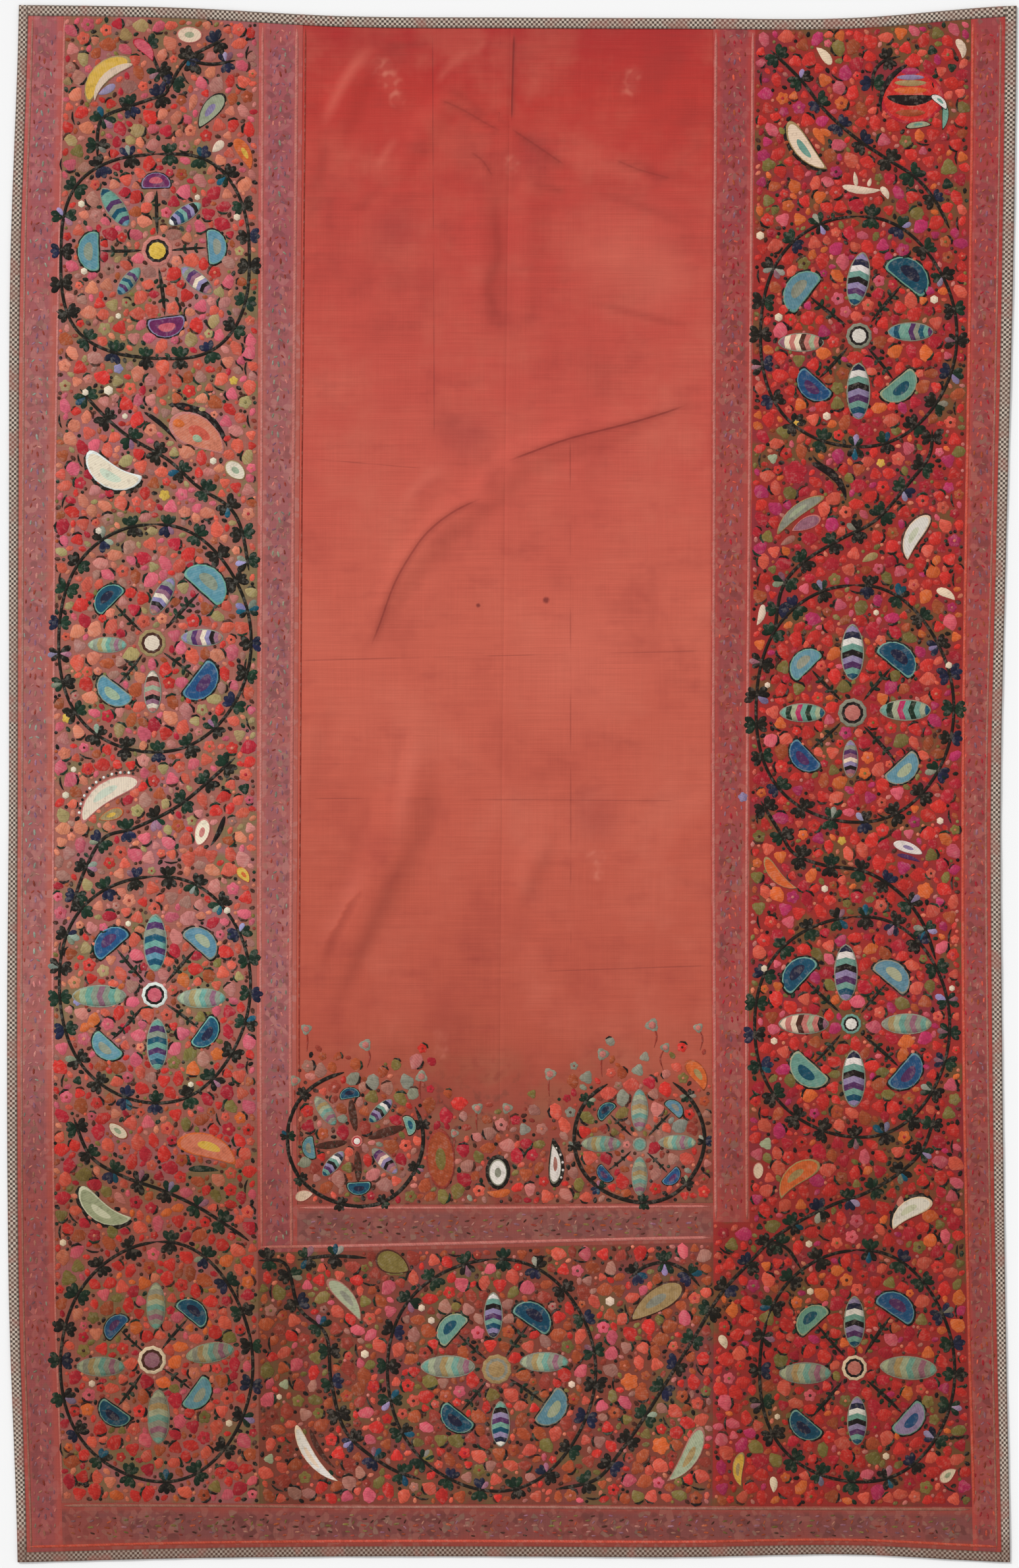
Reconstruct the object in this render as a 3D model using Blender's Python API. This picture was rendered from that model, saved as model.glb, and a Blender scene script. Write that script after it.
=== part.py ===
# Suzani: a silk-embroidered sheet for a bridal bed, laid flat on a surface.
# A plain red field of two loom widths is framed on three sides by a closely embroidered border
# between narrow bands, and a checked braid edges all four sides.
# X runs across the cloth, Y up its length and Z up from what it lies on.
# The origin is at the middle of the underside of the cloth's box.

from collections import namedtuple

import bmesh
import bpy
from mathutils import Vector

MM = 0.001

# Plan of the cloth, in millimetres: across from its left side, up from its bottom edge.
PLAN_WIDTH = 1532.0
PLAN_LENGTH = 2363.0
PIECE_GAP = 0.3

# Grid steps of the sheets, in millimetres: the field is finer, because it holds the creases.
BORDER_STEP = 75.0
FIELD_SPLIT = 5

# Each seam that runs up the cloth wanders a little. Columns: how far across it lies, in
# millimetres, at the bottom edge, at five equal steps above it and at the top edge.
UPRIGHT_SEAMS = {
    "left_edge": (16, 3, 0, 3, 3, 5, 18),
    "left_braid": (30, 18, 15, 16, 17, 20, 32),
    "left_band": (85, 72, 68, 69, 71, 77, 86),
    "left_border": (383, 381, 379, 379, 380, 381, 382),
    "field_left": (441, 441, 439, 441, 443, 446, 449),
    "centre_seam": (746, 746, 748, 751, 755, 759, 764),
    "field_right": (1070, 1072, 1070, 1068, 1069, 1070, 1072),
    "right_border": (1125, 1127, 1126, 1127, 1130, 1133, 1136),
    "right_band": (1466, 1456, 1449, 1448, 1453, 1459, 1463),
    "right_braid": (1509, 1501, 1495, 1493, 1502, 1510, 1515),
    "right_edge": (1522, 1515, 1510, 1508, 1517, 1527, 1532),
}

# Each seam that runs across the cloth sags a little. Columns: how far up it lies, in
# millimetres, at the left side, at five equal steps across and at the right side.
LEVEL_SEAMS = {
    "bottom_edge": (0, 6, 9, 9, 8, 12, 0),
    "bottom_braid": (15, 21, 24, 24, 23, 26, 15),
    "border_foot": (90, 90, 88, 88, 86, 85, 84),
    "band_foot": (469, 469, 472, 478, 484, 486, 486),
    "border_step": (516, 516, 516, 516, 516, 516, 516),
    "field_foot": (543, 543, 543, 543, 545, 545, 545),
    "top_braid": (2347, 2343, 2330, 2328, 2327, 2327, 2346),
    "top_edge": (2363, 2359, 2346, 2344, 2343, 2343, 2362),
}

# The sheets. left, right, foot and head name the seams that bound each one. split makes its
# grid finer, and notch names the seams of the corner that is left out, if there is one.
Sheet = namedtuple("Sheet", "name left right foot head thickness finish split notch")
FIELD_THICKNESS = 1.2
BORDER_THICKNESS = 2.0
BAND_THICKNESS = 1.8
BRAID_THICKNESS = 2.4
NO_NOTCH = None
STEP_NOTCH = ("right_border", "border_step")
SHEETS = (
    Sheet("field_left", "field_left", "centre_seam", "field_foot", "top_braid",
          FIELD_THICKNESS, "field", FIELD_SPLIT, NO_NOTCH),
    Sheet("field_right", "centre_seam", "field_right", "field_foot", "top_braid",
          FIELD_THICKNESS, "field", FIELD_SPLIT, NO_NOTCH),
    Sheet("border_left", "left_band", "left_border", "border_foot", "top_braid",
          BORDER_THICKNESS, "left_border", 1, NO_NOTCH),
    Sheet("border_right", "field_right", "right_band", "border_foot", "top_braid",
          BORDER_THICKNESS, "right_border", 1, STEP_NOTCH),
    Sheet("border_bottom", "left_border", "field_right", "border_foot", "band_foot",
          BORDER_THICKNESS, "bottom_border", 1, NO_NOTCH),
    Sheet("inner_band_left", "left_border", "field_left", "band_foot", "top_braid",
          BAND_THICKNESS, "band", 1, NO_NOTCH),
    Sheet("inner_band_right", "field_right", "right_border", "border_step", "top_braid",
          BAND_THICKNESS, "band", 1, NO_NOTCH),
    Sheet("inner_band_bottom", "field_left", "field_right", "band_foot", "field_foot",
          BAND_THICKNESS, "band", 1, NO_NOTCH),
    Sheet("outer_band_left", "left_braid", "left_band", "bottom_braid", "top_braid",
          BAND_THICKNESS, "band", 1, NO_NOTCH),
    Sheet("outer_band_right", "right_band", "right_braid", "bottom_braid", "top_braid",
          BAND_THICKNESS, "band", 1, NO_NOTCH),
    Sheet("outer_band_bottom", "left_band", "right_band", "bottom_braid", "border_foot",
          BAND_THICKNESS, "band", 1, NO_NOTCH),
    Sheet("edging_left", "left_edge", "left_braid", "bottom_edge", "top_edge",
          BRAID_THICKNESS, "braid", 1, NO_NOTCH),
    Sheet("edging_right", "right_braid", "right_edge", "bottom_edge", "top_edge",
          BRAID_THICKNESS, "braid", 1, NO_NOTCH),
    Sheet("edging_top", "left_braid", "right_braid", "top_braid", "top_edge",
          BRAID_THICKNESS, "braid", 1, NO_NOTCH),
    Sheet("edging_bottom", "left_braid", "right_braid", "bottom_edge", "bottom_braid",
          BRAID_THICKNESS, "braid", 1, NO_NOTCH),
)

# The creases that stand up in the field, all clear of its outer seams. Columns: height and half
# width in millimetres, the share of the length over which each end dies away, and the crest's
# own points, across and up.
Crease = namedtuple("Crease", "height half_width taper crest")
CREASES = (
    # The long sharp crease that crosses the field and turns down at the left.
    Crease(6, 36, 0.25, ((1042, 1760), (944, 1731), (859, 1706), (779, 1676), (724, 1619),
                         (664, 1576), (614, 1521), (579, 1466), (548, 1380))),
    # The broad soft fold towards the lower left.
    Crease(9, 56, 0.45, ((636, 1330), (612, 1171), (579, 1066), (529, 951), (498, 860))),
    # Two low swells beside the centre seam, with the seam in the trough between them.
    Crease(4, 36, 0.5, ((730, 2190), (721, 2000), (724, 1820))),
    Crease(4, 36, 0.5, ((793, 2170), (790, 2000), (782, 1850))),
    # The fold that runs out of the upper left corner of the field.
    Crease(6, 38, 0.5, ((572, 2300), (517, 2235), (488, 2120))),
    # Wrinkles that fan out from the middle of the top edge.
    Crease(4, 32, 0.5, ((710, 2270), (650, 2195), (580, 2085))),
    Crease(4, 32, 0.5, ((790, 2158), (880, 2115), (1000, 2082))),
    Crease(5, 66, 0.5, ((830, 1985), (930, 1962), (1030, 1958))),
    # The short soft fold right of the broad one.
    Crease(3, 34, 0.5, ((832, 1130), (800, 1060), (766, 985))),
)
TIP_WIDTH = 0.4

# Colour, roughness and metallic value of each finish.
Finish = namedtuple("Finish", "colour roughness metallic")
FINISHES = {
    "field": Finish((0.48, 0.080, 0.055), 0.82, 0.0),
    "left_border": Finish((0.40, 0.140, 0.095), 0.70, 0.0),
    "right_border": Finish((0.36, 0.070, 0.045), 0.70, 0.0),
    "bottom_border": Finish((0.26, 0.080, 0.050), 0.70, 0.0),
    "band": Finish((0.27, 0.090, 0.090), 0.72, 0.0),
    "braid": Finish((0.21, 0.190, 0.165), 0.78, 0.0),
}


def clear_scene():
    for thing in list(bpy.data.objects):
        bpy.data.objects.remove(thing, do_unlink=True)


# Shape of the seams

def along(values, share):
    """The value at a share from 0 to 1 of a smooth curve through evenly spaced values."""
    place = min(max(share, 0.0), 1.0) * (len(values) - 1)
    start = min(int(place), len(values) - 2)
    t = place - start
    before = values[max(start - 1, 0)]
    here = values[start]
    after = values[start + 1]
    beyond = values[min(start + 2, len(values) - 1)]
    bend = 2 * before - 5 * here + 4 * after - beyond
    twist = 3 * here - before - 3 * after + beyond
    return here + 0.5 * t * (after - before + t * (bend + t * twist))


def seam_across(name, up):
    return along(UPRIGHT_SEAMS[name], up / PLAN_LENGTH)


def seam_up(name, across):
    return along(LEVEL_SEAMS[name], across / PLAN_WIDTH)


def seams_between(seams, first, last):
    names = list(seams)
    return names[names.index(first):names.index(last) + 1]


# Shape of the creases

def smooth_step(share):
    share = min(max(share, 0.0), 1.0)
    return share * share * (3 - 2 * share)


def crease_height(crease, across, up):
    """The height of one crease at a place in the plan, nothing beyond its half width."""
    crest = [Vector(point) for point in crease.crest]
    spot = Vector((across, up))
    total = sum((b - a).length for a, b in zip(crest, crest[1:]))
    walked = 0.0
    nearest = None
    for a, b in zip(crest, crest[1:]):
        run = b - a
        share = min(max((spot - a).dot(run) / run.length_squared, 0.0), 1.0)
        distance = (spot - a - share * run).length
        if nearest is None or distance < nearest[0]:
            nearest = (distance, (walked + share * run.length) / total)
        walked += run.length
    distance, place = nearest
    ends = smooth_step(place / crease.taper) * smooth_step((1 - place) / crease.taper)
    half_width = crease.half_width * (TIP_WIDTH + (1 - TIP_WIDTH) * ends)
    if distance >= half_width:
        return 0.0
    side = (1 - (distance / half_width) ** 2) ** 2
    return crease.height * side * ends


def rise(across, up):
    return sum(crease_height(crease, across, up) for crease in CREASES)


# Building the sheets

def stations(seams, names, split):
    """The lattice lines from the first seam to the last, as (seam, next seam, share)."""
    lines = []
    for first, second in zip(names, names[1:]):
        span = sum(seams[second]) / len(seams[second]) - sum(seams[first]) / len(seams[first])
        steps = max(1, round(span / BORDER_STEP)) * split
        lines += [(first, second, step / steps) for step in range(steps)]
    lines.append((names[-2], names[-1], 1.0))
    return lines


def between(reader, line, edges, other):
    """The place of a lattice line, kept half a gap inside the sheet's own edges."""
    first, second, share = line
    start = reader(first, other) + PIECE_GAP / 2 * (first in edges)
    end = reader(second, other) - PIECE_GAP / 2 * (second in edges)
    return start + share * (end - start)


def steps_of(lines, seam):
    """The lattice line that lies on a seam."""
    return next(index for index, line in enumerate(lines) if line[0] == seam and line[2] == 0.0)


def place_on_plan(column, row, column_edges, row_edges):
    """Where a column and a row of the lattice cross."""
    across = PLAN_WIDTH / 2
    for _ in range(4):
        up = between(seam_up, row, row_edges, across)
        across = between(seam_across, column, column_edges, up)
    return across, up


def finish_material(name):
    material = bpy.data.materials.get(name)
    if material is None:
        material = bpy.data.materials.new(name)
        material.use_nodes = True
        shader = material.node_tree.nodes["Principled BSDF"]
        finish = FINISHES[name]
        shader.inputs["Base Color"].default_value = (*finish.colour, 1.0)
        shader.inputs["Roughness"].default_value = finish.roughness
        shader.inputs["Metallic"].default_value = finish.metallic
    return material


def make_sheet(sheet):
    """One thin closed sheet between its seams, lifted along the creases."""
    columns = seams_between(UPRIGHT_SEAMS, sheet.left, sheet.right)
    rows = seams_between(LEVEL_SEAMS, sheet.foot, sheet.head)
    column_edges = {sheet.left, sheet.right}
    row_edges = {sheet.foot, sheet.head}
    if sheet.notch:
        column_edges.add(sheet.notch[0])
        row_edges.add(sheet.notch[1])
    column_lines = stations(UPRIGHT_SEAMS, columns, sheet.split)
    row_lines = stations(LEVEL_SEAMS, rows, sheet.split)

    mesh = bpy.data.meshes.new(sheet.name)
    bm = bmesh.new()
    steps_across = len(column_lines) - 1
    steps_up = len(row_lines) - 1
    bmesh.ops.create_grid(bm, x_segments=steps_across, y_segments=steps_up, size=0.5)
    lattice = {}
    for vert in bm.verts:
        i = round((vert.co.x + 0.5) * steps_across)
        j = round((vert.co.y + 0.5) * steps_up)
        lattice[vert] = (i, j)
        across, up = place_on_plan(column_lines[i], row_lines[j], column_edges, row_edges)
        vert.co = Vector((across, up, rise(across, up))) * MM
    if sheet.notch:
        notch_column = steps_of(column_lines, sheet.notch[0])
        notch_row = steps_of(row_lines, sheet.notch[1])
        cut = [face for face in bm.faces
               if max(lattice[vert][0] for vert in face.verts) <= notch_column
               and min(lattice[vert][1] for vert in face.verts) >= notch_row]
        bmesh.ops.delete(bm, geom=cut, context="FACES")
    raised = bmesh.ops.extrude_face_region(bm, geom=bm.faces[:])["geom"]
    top = [part for part in raised if isinstance(part, bmesh.types.BMVert)]
    bmesh.ops.translate(bm, verts=top, vec=Vector((0, 0, sheet.thickness * MM)))
    bmesh.ops.recalc_face_normals(bm, faces=bm.faces[:])
    bm.to_mesh(mesh)
    bm.free()
    mesh.shade_smooth()
    mesh.set_sharp_from_angle(angle=0.6)
    mesh.materials.append(finish_material(sheet.finish))
    piece = bpy.data.objects.new(sheet.name, mesh)
    bpy.context.collection.objects.link(piece)
    return piece


def centre_on_origin(pieces):
    """Moves the cloth so that its box is centred on the origin, without turning it."""
    corners = [vert.co for piece in pieces for vert in piece.data.vertices]
    low = Vector((min(co.x for co in corners), min(co.y for co in corners), 0.0))
    high = Vector((max(co.x for co in corners), max(co.y for co in corners), 0.0))
    for piece in pieces:
        for vert in piece.data.vertices:
            vert.co -= (low + high) / 2


def main():
    clear_scene()
    pieces = [make_sheet(sheet) for sheet in SHEETS]
    centre_on_origin(pieces)


main()
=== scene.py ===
# %% [markdown]
# A suzani, worked in silk for a bridal bed and spread flat to be seen.
#
# Women embroidered such cloths on loom-width strips that were basted together, drawn on, taken
# apart to be shared out, and sewn up again when each strip was done. This lesson dresses the
# fifteen plain sheets of the frame: it gives each strip its cloth, and then adds the needlework
# as low raised shapes, the way padded silk stands up from its ground. Doing it as real shapes,
# and not as a picture on a plane, lets every leaf catch the light and keep its place from any
# side.

# %% The frame
import math
from collections import namedtuple
from functools import reduce
from operator import add

import bmesh
import bpy
import numpy as np
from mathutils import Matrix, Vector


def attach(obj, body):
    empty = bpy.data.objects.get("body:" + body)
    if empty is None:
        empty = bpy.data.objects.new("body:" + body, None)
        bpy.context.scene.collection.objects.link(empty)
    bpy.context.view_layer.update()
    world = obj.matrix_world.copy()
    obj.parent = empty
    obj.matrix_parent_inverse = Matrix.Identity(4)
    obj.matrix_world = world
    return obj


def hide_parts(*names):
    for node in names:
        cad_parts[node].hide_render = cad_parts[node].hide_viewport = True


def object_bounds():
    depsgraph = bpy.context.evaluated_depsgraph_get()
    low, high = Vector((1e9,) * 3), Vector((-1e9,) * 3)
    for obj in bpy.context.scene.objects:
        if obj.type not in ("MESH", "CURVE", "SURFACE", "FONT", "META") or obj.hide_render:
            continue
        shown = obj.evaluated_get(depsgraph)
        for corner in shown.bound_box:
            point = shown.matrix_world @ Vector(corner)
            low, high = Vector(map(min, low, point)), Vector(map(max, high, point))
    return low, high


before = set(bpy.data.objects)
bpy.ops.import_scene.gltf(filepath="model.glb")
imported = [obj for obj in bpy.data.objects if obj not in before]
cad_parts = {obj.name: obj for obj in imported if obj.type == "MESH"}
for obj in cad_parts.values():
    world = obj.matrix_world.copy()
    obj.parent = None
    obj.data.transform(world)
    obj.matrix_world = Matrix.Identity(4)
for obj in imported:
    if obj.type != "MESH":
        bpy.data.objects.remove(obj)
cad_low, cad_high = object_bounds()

MM = 0.001
print("frame", [round(side, 3) for side in cad_high - cad_low], len(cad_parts), "sheets")

# %% [markdown]
# Embroiderers draw the design at full size before a stitch is made. The places in this lesson
# are read off such a drawing: a sheet 1547 mm wide and 2380 mm long, measured across from its
# left side and down from its top. Strip seams are measured on the cloth itself instead, up from
# its bottom edge, because that is how the strips were cut.

# %% The drawing and the cloth's plan
DRAWING = (1547.0, 2380.0)
CLOTH_ON_DRAWING = (11.0, 2371.0)
PLAN_WIDTH = 1532.0
PLAN_LENGTH = 2363.0

# Columns: millimetres across at the bottom edge, at five equal steps above it and at the top.
UPRIGHT_SEAMS = {
    "left_edge": (16, 3, 0, 3, 3, 5, 18),
    "left_braid": (30, 18, 15, 16, 17, 20, 32),
    "left_band": (85, 72, 68, 69, 71, 77, 86),
    "left_border": (383, 381, 379, 379, 380, 381, 382),
    "field_left": (441, 441, 439, 441, 443, 446, 449),
    "centre_seam": (746, 746, 748, 751, 755, 759, 764),
    "field_right": (1070, 1072, 1070, 1068, 1069, 1070, 1072),
    "right_border": (1125, 1127, 1126, 1127, 1130, 1133, 1136),
    "right_band": (1466, 1456, 1449, 1448, 1453, 1459, 1463),
    "right_braid": (1509, 1501, 1495, 1493, 1502, 1510, 1515),
    "right_edge": (1522, 1515, 1510, 1508, 1517, 1527, 1532),
}
# Columns: millimetres up at the left side, at five equal steps across and at the right side.
LEVEL_SEAMS = {
    "bottom_edge": (0, 6, 9, 9, 8, 12, 0),
    "bottom_braid": (15, 21, 24, 24, 23, 26, 15),
    "border_foot": (90, 90, 88, 88, 86, 85, 84),
    "band_foot": (469, 469, 472, 478, 484, 486, 486),
    "border_step": (516, 516, 516, 516, 516, 516, 516),
    "field_foot": (543, 543, 543, 543, 545, 545, 545),
    "top_braid": (2347, 2343, 2330, 2328, 2327, 2327, 2346),
    "top_edge": (2363, 2359, 2346, 2344, 2343, 2343, 2362),
}


def along(values, share):
    """The value at each share from 0 to 1 of a smooth curve through evenly spaced values."""
    values = np.asarray(values, float)
    place = np.clip(share, 0.0, 1.0) * (len(values) - 1)
    start = np.minimum(place.astype(int), len(values) - 2)
    t = place - start
    before = values[np.maximum(start - 1, 0)]
    here = values[start]
    after = values[start + 1]
    beyond = values[np.minimum(start + 2, len(values) - 1)]
    bend = 2 * before - 5 * here + 4 * after - beyond
    twist = 3 * here - before - 3 * after + beyond
    return here + 0.5 * t * (after - before + t * (bend + t * twist))


def seam_across(name, up):
    return along(UPRIGHT_SEAMS[name], np.asarray(up, float) / PLAN_LENGTH)


def seam_up(name, across):
    return along(LEVEL_SEAMS[name], np.asarray(across, float) / PLAN_WIDTH)


# The frame is centred on its box, so its low corner says where the plan's corner lies.
STEPS = np.linspace(0.0, 1.0, 500)
plan_low = np.array([along(UPRIGHT_SEAMS["left_edge"], STEPS).min(),
                     along(LEVEL_SEAMS["bottom_edge"], STEPS).min()])
PLAN_ORIGIN = np.array(cad_low[:2]) / MM - plan_low
print("the plan's corner lies at", PLAN_ORIGIN.round(1), "mm")


def from_drawing(points):
    """Plan places of points read off the drawing."""
    points = np.asarray(points, float)
    left, foot = CLOTH_ON_DRAWING
    return np.stack([points[..., 0] - left, foot - points[..., 1]], axis=-1)


# %% [markdown]
# Cloth that is spread after being folded keeps creases. The main ones are low ridges: a long
# sharp one that crosses the field, a broad soft fold towards the lower left, swells beside the
# centre seam and small wrinkles that fan out from the top edge. Each is a crest line with a
# height that dies away at both ends, and a rounded side. A cloth simulation would drape new
# folds of its own, so these are placed where they lie.

# %% Creases and the height of the cloth
# Columns: height and half width in millimetres, the share of the length over which each end
# dies away, and the crest's points, across and up.
CREASES = (
    (6, 36, 0.25, ((1042, 1760), (944, 1731), (859, 1706), (779, 1676), (724, 1619),
                   (664, 1576), (614, 1521), (579, 1466), (548, 1380))),
    (9, 56, 0.45, ((636, 1330), (612, 1171), (579, 1066), (529, 951), (498, 860))),
    (4, 36, 0.5, ((730, 2190), (721, 2000), (724, 1820))),
    (4, 36, 0.5, ((793, 2170), (790, 2000), (782, 1850))),
    (6, 38, 0.5, ((572, 2300), (517, 2235), (488, 2120))),
    (4, 32, 0.5, ((710, 2270), (650, 2195), (580, 2085))),
    (4, 32, 0.5, ((790, 2158), (880, 2115), (1000, 2082))),
    (5, 66, 0.5, ((830, 1985), (930, 1962), (1030, 1958))),
    (3, 34, 0.5, ((832, 1130), (800, 1060), (766, 985))),
)
TIP_WIDTH = 0.4
PUCKER = 0.35


def smooth_step(share):
    share = np.clip(share, 0.0, 1.0)
    return share * share * (3 - 2 * share)


def nearest_on_line(places, line):
    """Each place's distance from a broken line, and how far along the line it is, 0 to 1."""
    line = np.asarray(line, float)
    runs = np.diff(line, axis=0)
    lengths = np.hypot(runs[:, 0], runs[:, 1])
    walked = np.concatenate([[0.0], np.cumsum(lengths)])
    best = np.full(len(places), np.inf)
    share = np.zeros(len(places))
    for start, run, length, before in zip(line, runs, lengths, walked):
        t = np.clip(((places - start) @ run) / length ** 2, 0.0, 1.0)
        distance = np.hypot(*(places - start - t[:, None] * run).T)
        nearer = distance < best
        best[nearer] = distance[nearer]
        share[nearer] = ((before + t * length) / walked[-1])[nearer]
    return best, share


def rise(places):
    """How far the underside of the cloth stands off the floor, in millimetres."""
    places = np.asarray(places, float)
    total = np.zeros(len(places))
    for height, half_width, taper, crest in CREASES:
        distance, share = nearest_on_line(places, crest)
        ends = smooth_step(share / taper) * smooth_step((1 - share) / taper)
        width = half_width * (TIP_WIDTH + (1 - TIP_WIDTH) * ends)
        total += height * ends * np.clip(1 - (distance / width) ** 2, 0.0, 1.0) ** 2
    x, y = places.T
    waves = np.sin(x / 17 + 1.3 * np.sin(y / 41)) * np.sin(y / 23 + 1.7 * np.sin(x / 37))
    return total + PUCKER * (1 + waves)


# %% [markdown]
# Each strip is a sheet between the seams that bound it. A flat grid is made with the grid
# operator and its points are carried to where the seams run, so that neighbours share an edge
# with only a small gap. The grid is the worked face of the cloth, and a Solidify
# modifier gives it its thickness downwards. The right border has a step at its foot, so the
# faces above the step are deleted from its grid.

# %% Sheets of cloth
PIECE_GAP = 0.06
FIELD_THICKNESS = 1.2
BORDER_THICKNESS = 2.0
BAND_THICKNESS = 1.8
BRAID_THICKNESS = 2.4


def seams_between(seams, first, last):
    names = list(seams)
    return names[names.index(first):names.index(last) + 1]


def stations(seams, first, last, step):
    """The lattice lines from one seam to another, as (seam, next seam, share between)."""
    names = seams_between(seams, first, last)
    lines = []
    for name, following in zip(names, names[1:]):
        span = np.mean(seams[following]) - np.mean(seams[name])
        steps = max(1, round(span / step))
        lines += [(name, following, index / steps) for index in range(steps)]
    return lines + [(names[-2], names[-1], 1.0)]


def between(reader, line, edges, other):
    """The place of a lattice line, kept half a gap inside the sheet's own edges."""
    first, second, share = line
    start = reader(first, other) + PIECE_GAP / 2 * (first in edges)
    end = reader(second, other) - PIECE_GAP / 2 * (second in edges)
    return start + share * (end - start)


def lattice_places(columns, rows, column_edges, row_edges):
    """The plan place of every crossing of the lattice, as an array of columns by rows."""
    across = np.full((len(columns), len(rows)), PLAN_WIDTH / 2)
    up = np.zeros_like(across)
    for _ in range(4):
        for j, row in enumerate(rows):
            up[:, j] = between(seam_up, row, row_edges, across[:, j])
        for i, column in enumerate(columns):
            across[i] = between(seam_across, column, column_edges, up[i])
    return np.stack([across, up], axis=-1)


def on_stage(places, heights):
    """Points in metres in the frame, from plan places and heights in millimetres."""
    flat = np.asarray(places) + PLAN_ORIGIN
    return np.column_stack([flat, heights]) * MM


def show(name, mesh, material):
    """Puts a finished mesh on the stage as a piece of the cloth."""
    piece = bpy.data.objects.new(name, mesh)
    bpy.context.collection.objects.link(piece)
    mesh.materials.append(material)
    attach(piece, "root")
    return piece


def cloth_sheet(name, bounds, thickness, step, material, notch=None):
    """A sheet of cloth between its four seams, named left, right, foot and head."""
    left, right, foot, head = bounds
    columns = stations(UPRIGHT_SEAMS, left, right, step)
    rows = stations(LEVEL_SEAMS, foot, head, step)
    notch_column, notch_row = notch or (left, head)
    places = lattice_places(columns, rows, {left, right, notch_column}, {foot, head, notch_row})
    bm = bmesh.new()
    wide, tall = len(columns) - 1, len(rows) - 1
    bmesh.ops.create_grid(bm, x_segments=wide, y_segments=tall, size=0.5)
    if notch:
        cut_column = next(i for i, line in enumerate(columns) if line[0] == notch_column) / wide
        cut_row = next(j for j, line in enumerate(rows) if line[0] == notch_row) / tall
        corner = [face for face in bm.faces
                  if face.calc_center_median().x + 0.5 < cut_column
                  and face.calc_center_median().y + 0.5 > cut_row]
        bmesh.ops.delete(bm, geom=corner, context="FACES")
    mesh = bpy.data.meshes.new(name)
    bm.to_mesh(mesh)
    bm.free()
    grid = np.empty(len(mesh.vertices) * 3, np.float32)
    mesh.vertices.foreach_get("co", grid)
    i, j = ((grid.reshape(-1, 3)[:, :2] + 0.5) * (wide, tall)).round().astype(int).T
    spots = places[i, j]
    mesh.vertices.foreach_set("co", on_stage(spots, rise(spots) + thickness).ravel())
    span = float((places[-1, :, 0] - places[0, :, 0]).mean())
    reach = float((places[:, -1, 1] - places[:, 0, 1]).mean())
    shares = np.column_stack([i / wide, j / tall])
    lengths = shares * (span, reach)
    if span > reach:
        shares, lengths = shares[:, ::-1], lengths[:, ::-1]
    corners = np.empty(len(mesh.loops), np.int32)
    mesh.loops.foreach_get("vertex_index", corners)
    for title, values in (("weave", shares), ("millimetres", lengths)):
        layer = mesh.uv_layers.new(name=title)
        layer.data.foreach_set("uv", values[corners].astype(np.float32).ravel())
    mesh.shade_smooth()
    mesh.update()
    piece = show(name, mesh, material)
    body = piece.modifiers.new("thickness", "SOLIDIFY")
    body.thickness = thickness * MM
    body.offset = -1.0
    smooth = piece.modifiers.new("even shading", "WEIGHTED_NORMAL")
    smooth.weight = 100
    print(name, round(span), "by", round(reach), "mm,", len(mesh.polygons), "faces")
    return piece, (span * MM, reach * MM)


# %% [markdown]
# Shader maths reads best as plain sums. Wire wraps one output of a node, and adding or
# multiplying wires adds Math nodes. Finish builds one material: its node method makes any node
# from its type, its settings and its inputs, and the rest of the lesson never touches a node
# tree by hand. The foot of the side strips is darker and browner, and washing has paled the
# left border, whatever the cloth or silk there, so each of the two is a method that multiplies
# any finish's colour by a tint.

# %% Wires and finishes
class Wire:
    """One socket that carries a number, so that sums can be written as sums."""

    def __init__(self, finish, socket):
        self.finish = finish
        self.socket = socket

    def math(self, operation, *others):
        settings = {"operation": operation}
        return self.finish.node("ShaderNodeMath", settings, [self, *others])

    def __add__(self, other):
        return self.math("ADD", other)

    __radd__ = __add__

    def __sub__(self, other):
        return self.math("SUBTRACT", other)

    def __rsub__(self, other):
        return self.finish.node("ShaderNodeMath", {"operation": "SUBTRACT"}, [other, self])

    def __mul__(self, other):
        return self.math("MULTIPLY", other)

    __rmul__ = __mul__

    def __truediv__(self, other):
        return self.math("DIVIDE", other)

    def __abs__(self):
        return self.math("ABSOLUTE")

    def limited(self, low, high):
        """0 below low and 1 above high, smooth between them; low may be the larger."""
        settings = {"interpolation_type": "SMOOTHSTEP"}
        if low <= high:
            return self.finish.node("ShaderNodeMapRange", settings, [self, low, high, 0.0, 1.0])
        return self.finish.node("ShaderNodeMapRange", settings, [self, high, low, 1.0, 0.0])


def silk(red, green, blue):
    """A linear colour from the usual 0 to 255 values."""
    return tuple((value / 255 / 12.92) if value <= 10 else ((value / 255 + 0.055) / 1.055) ** 2.4
                 for value in (red, green, blue))


FOOT_TINT = (0.80, 0.77, 0.68)
WASHED_TINT = (1.08, 1.26, 1.32)


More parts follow.
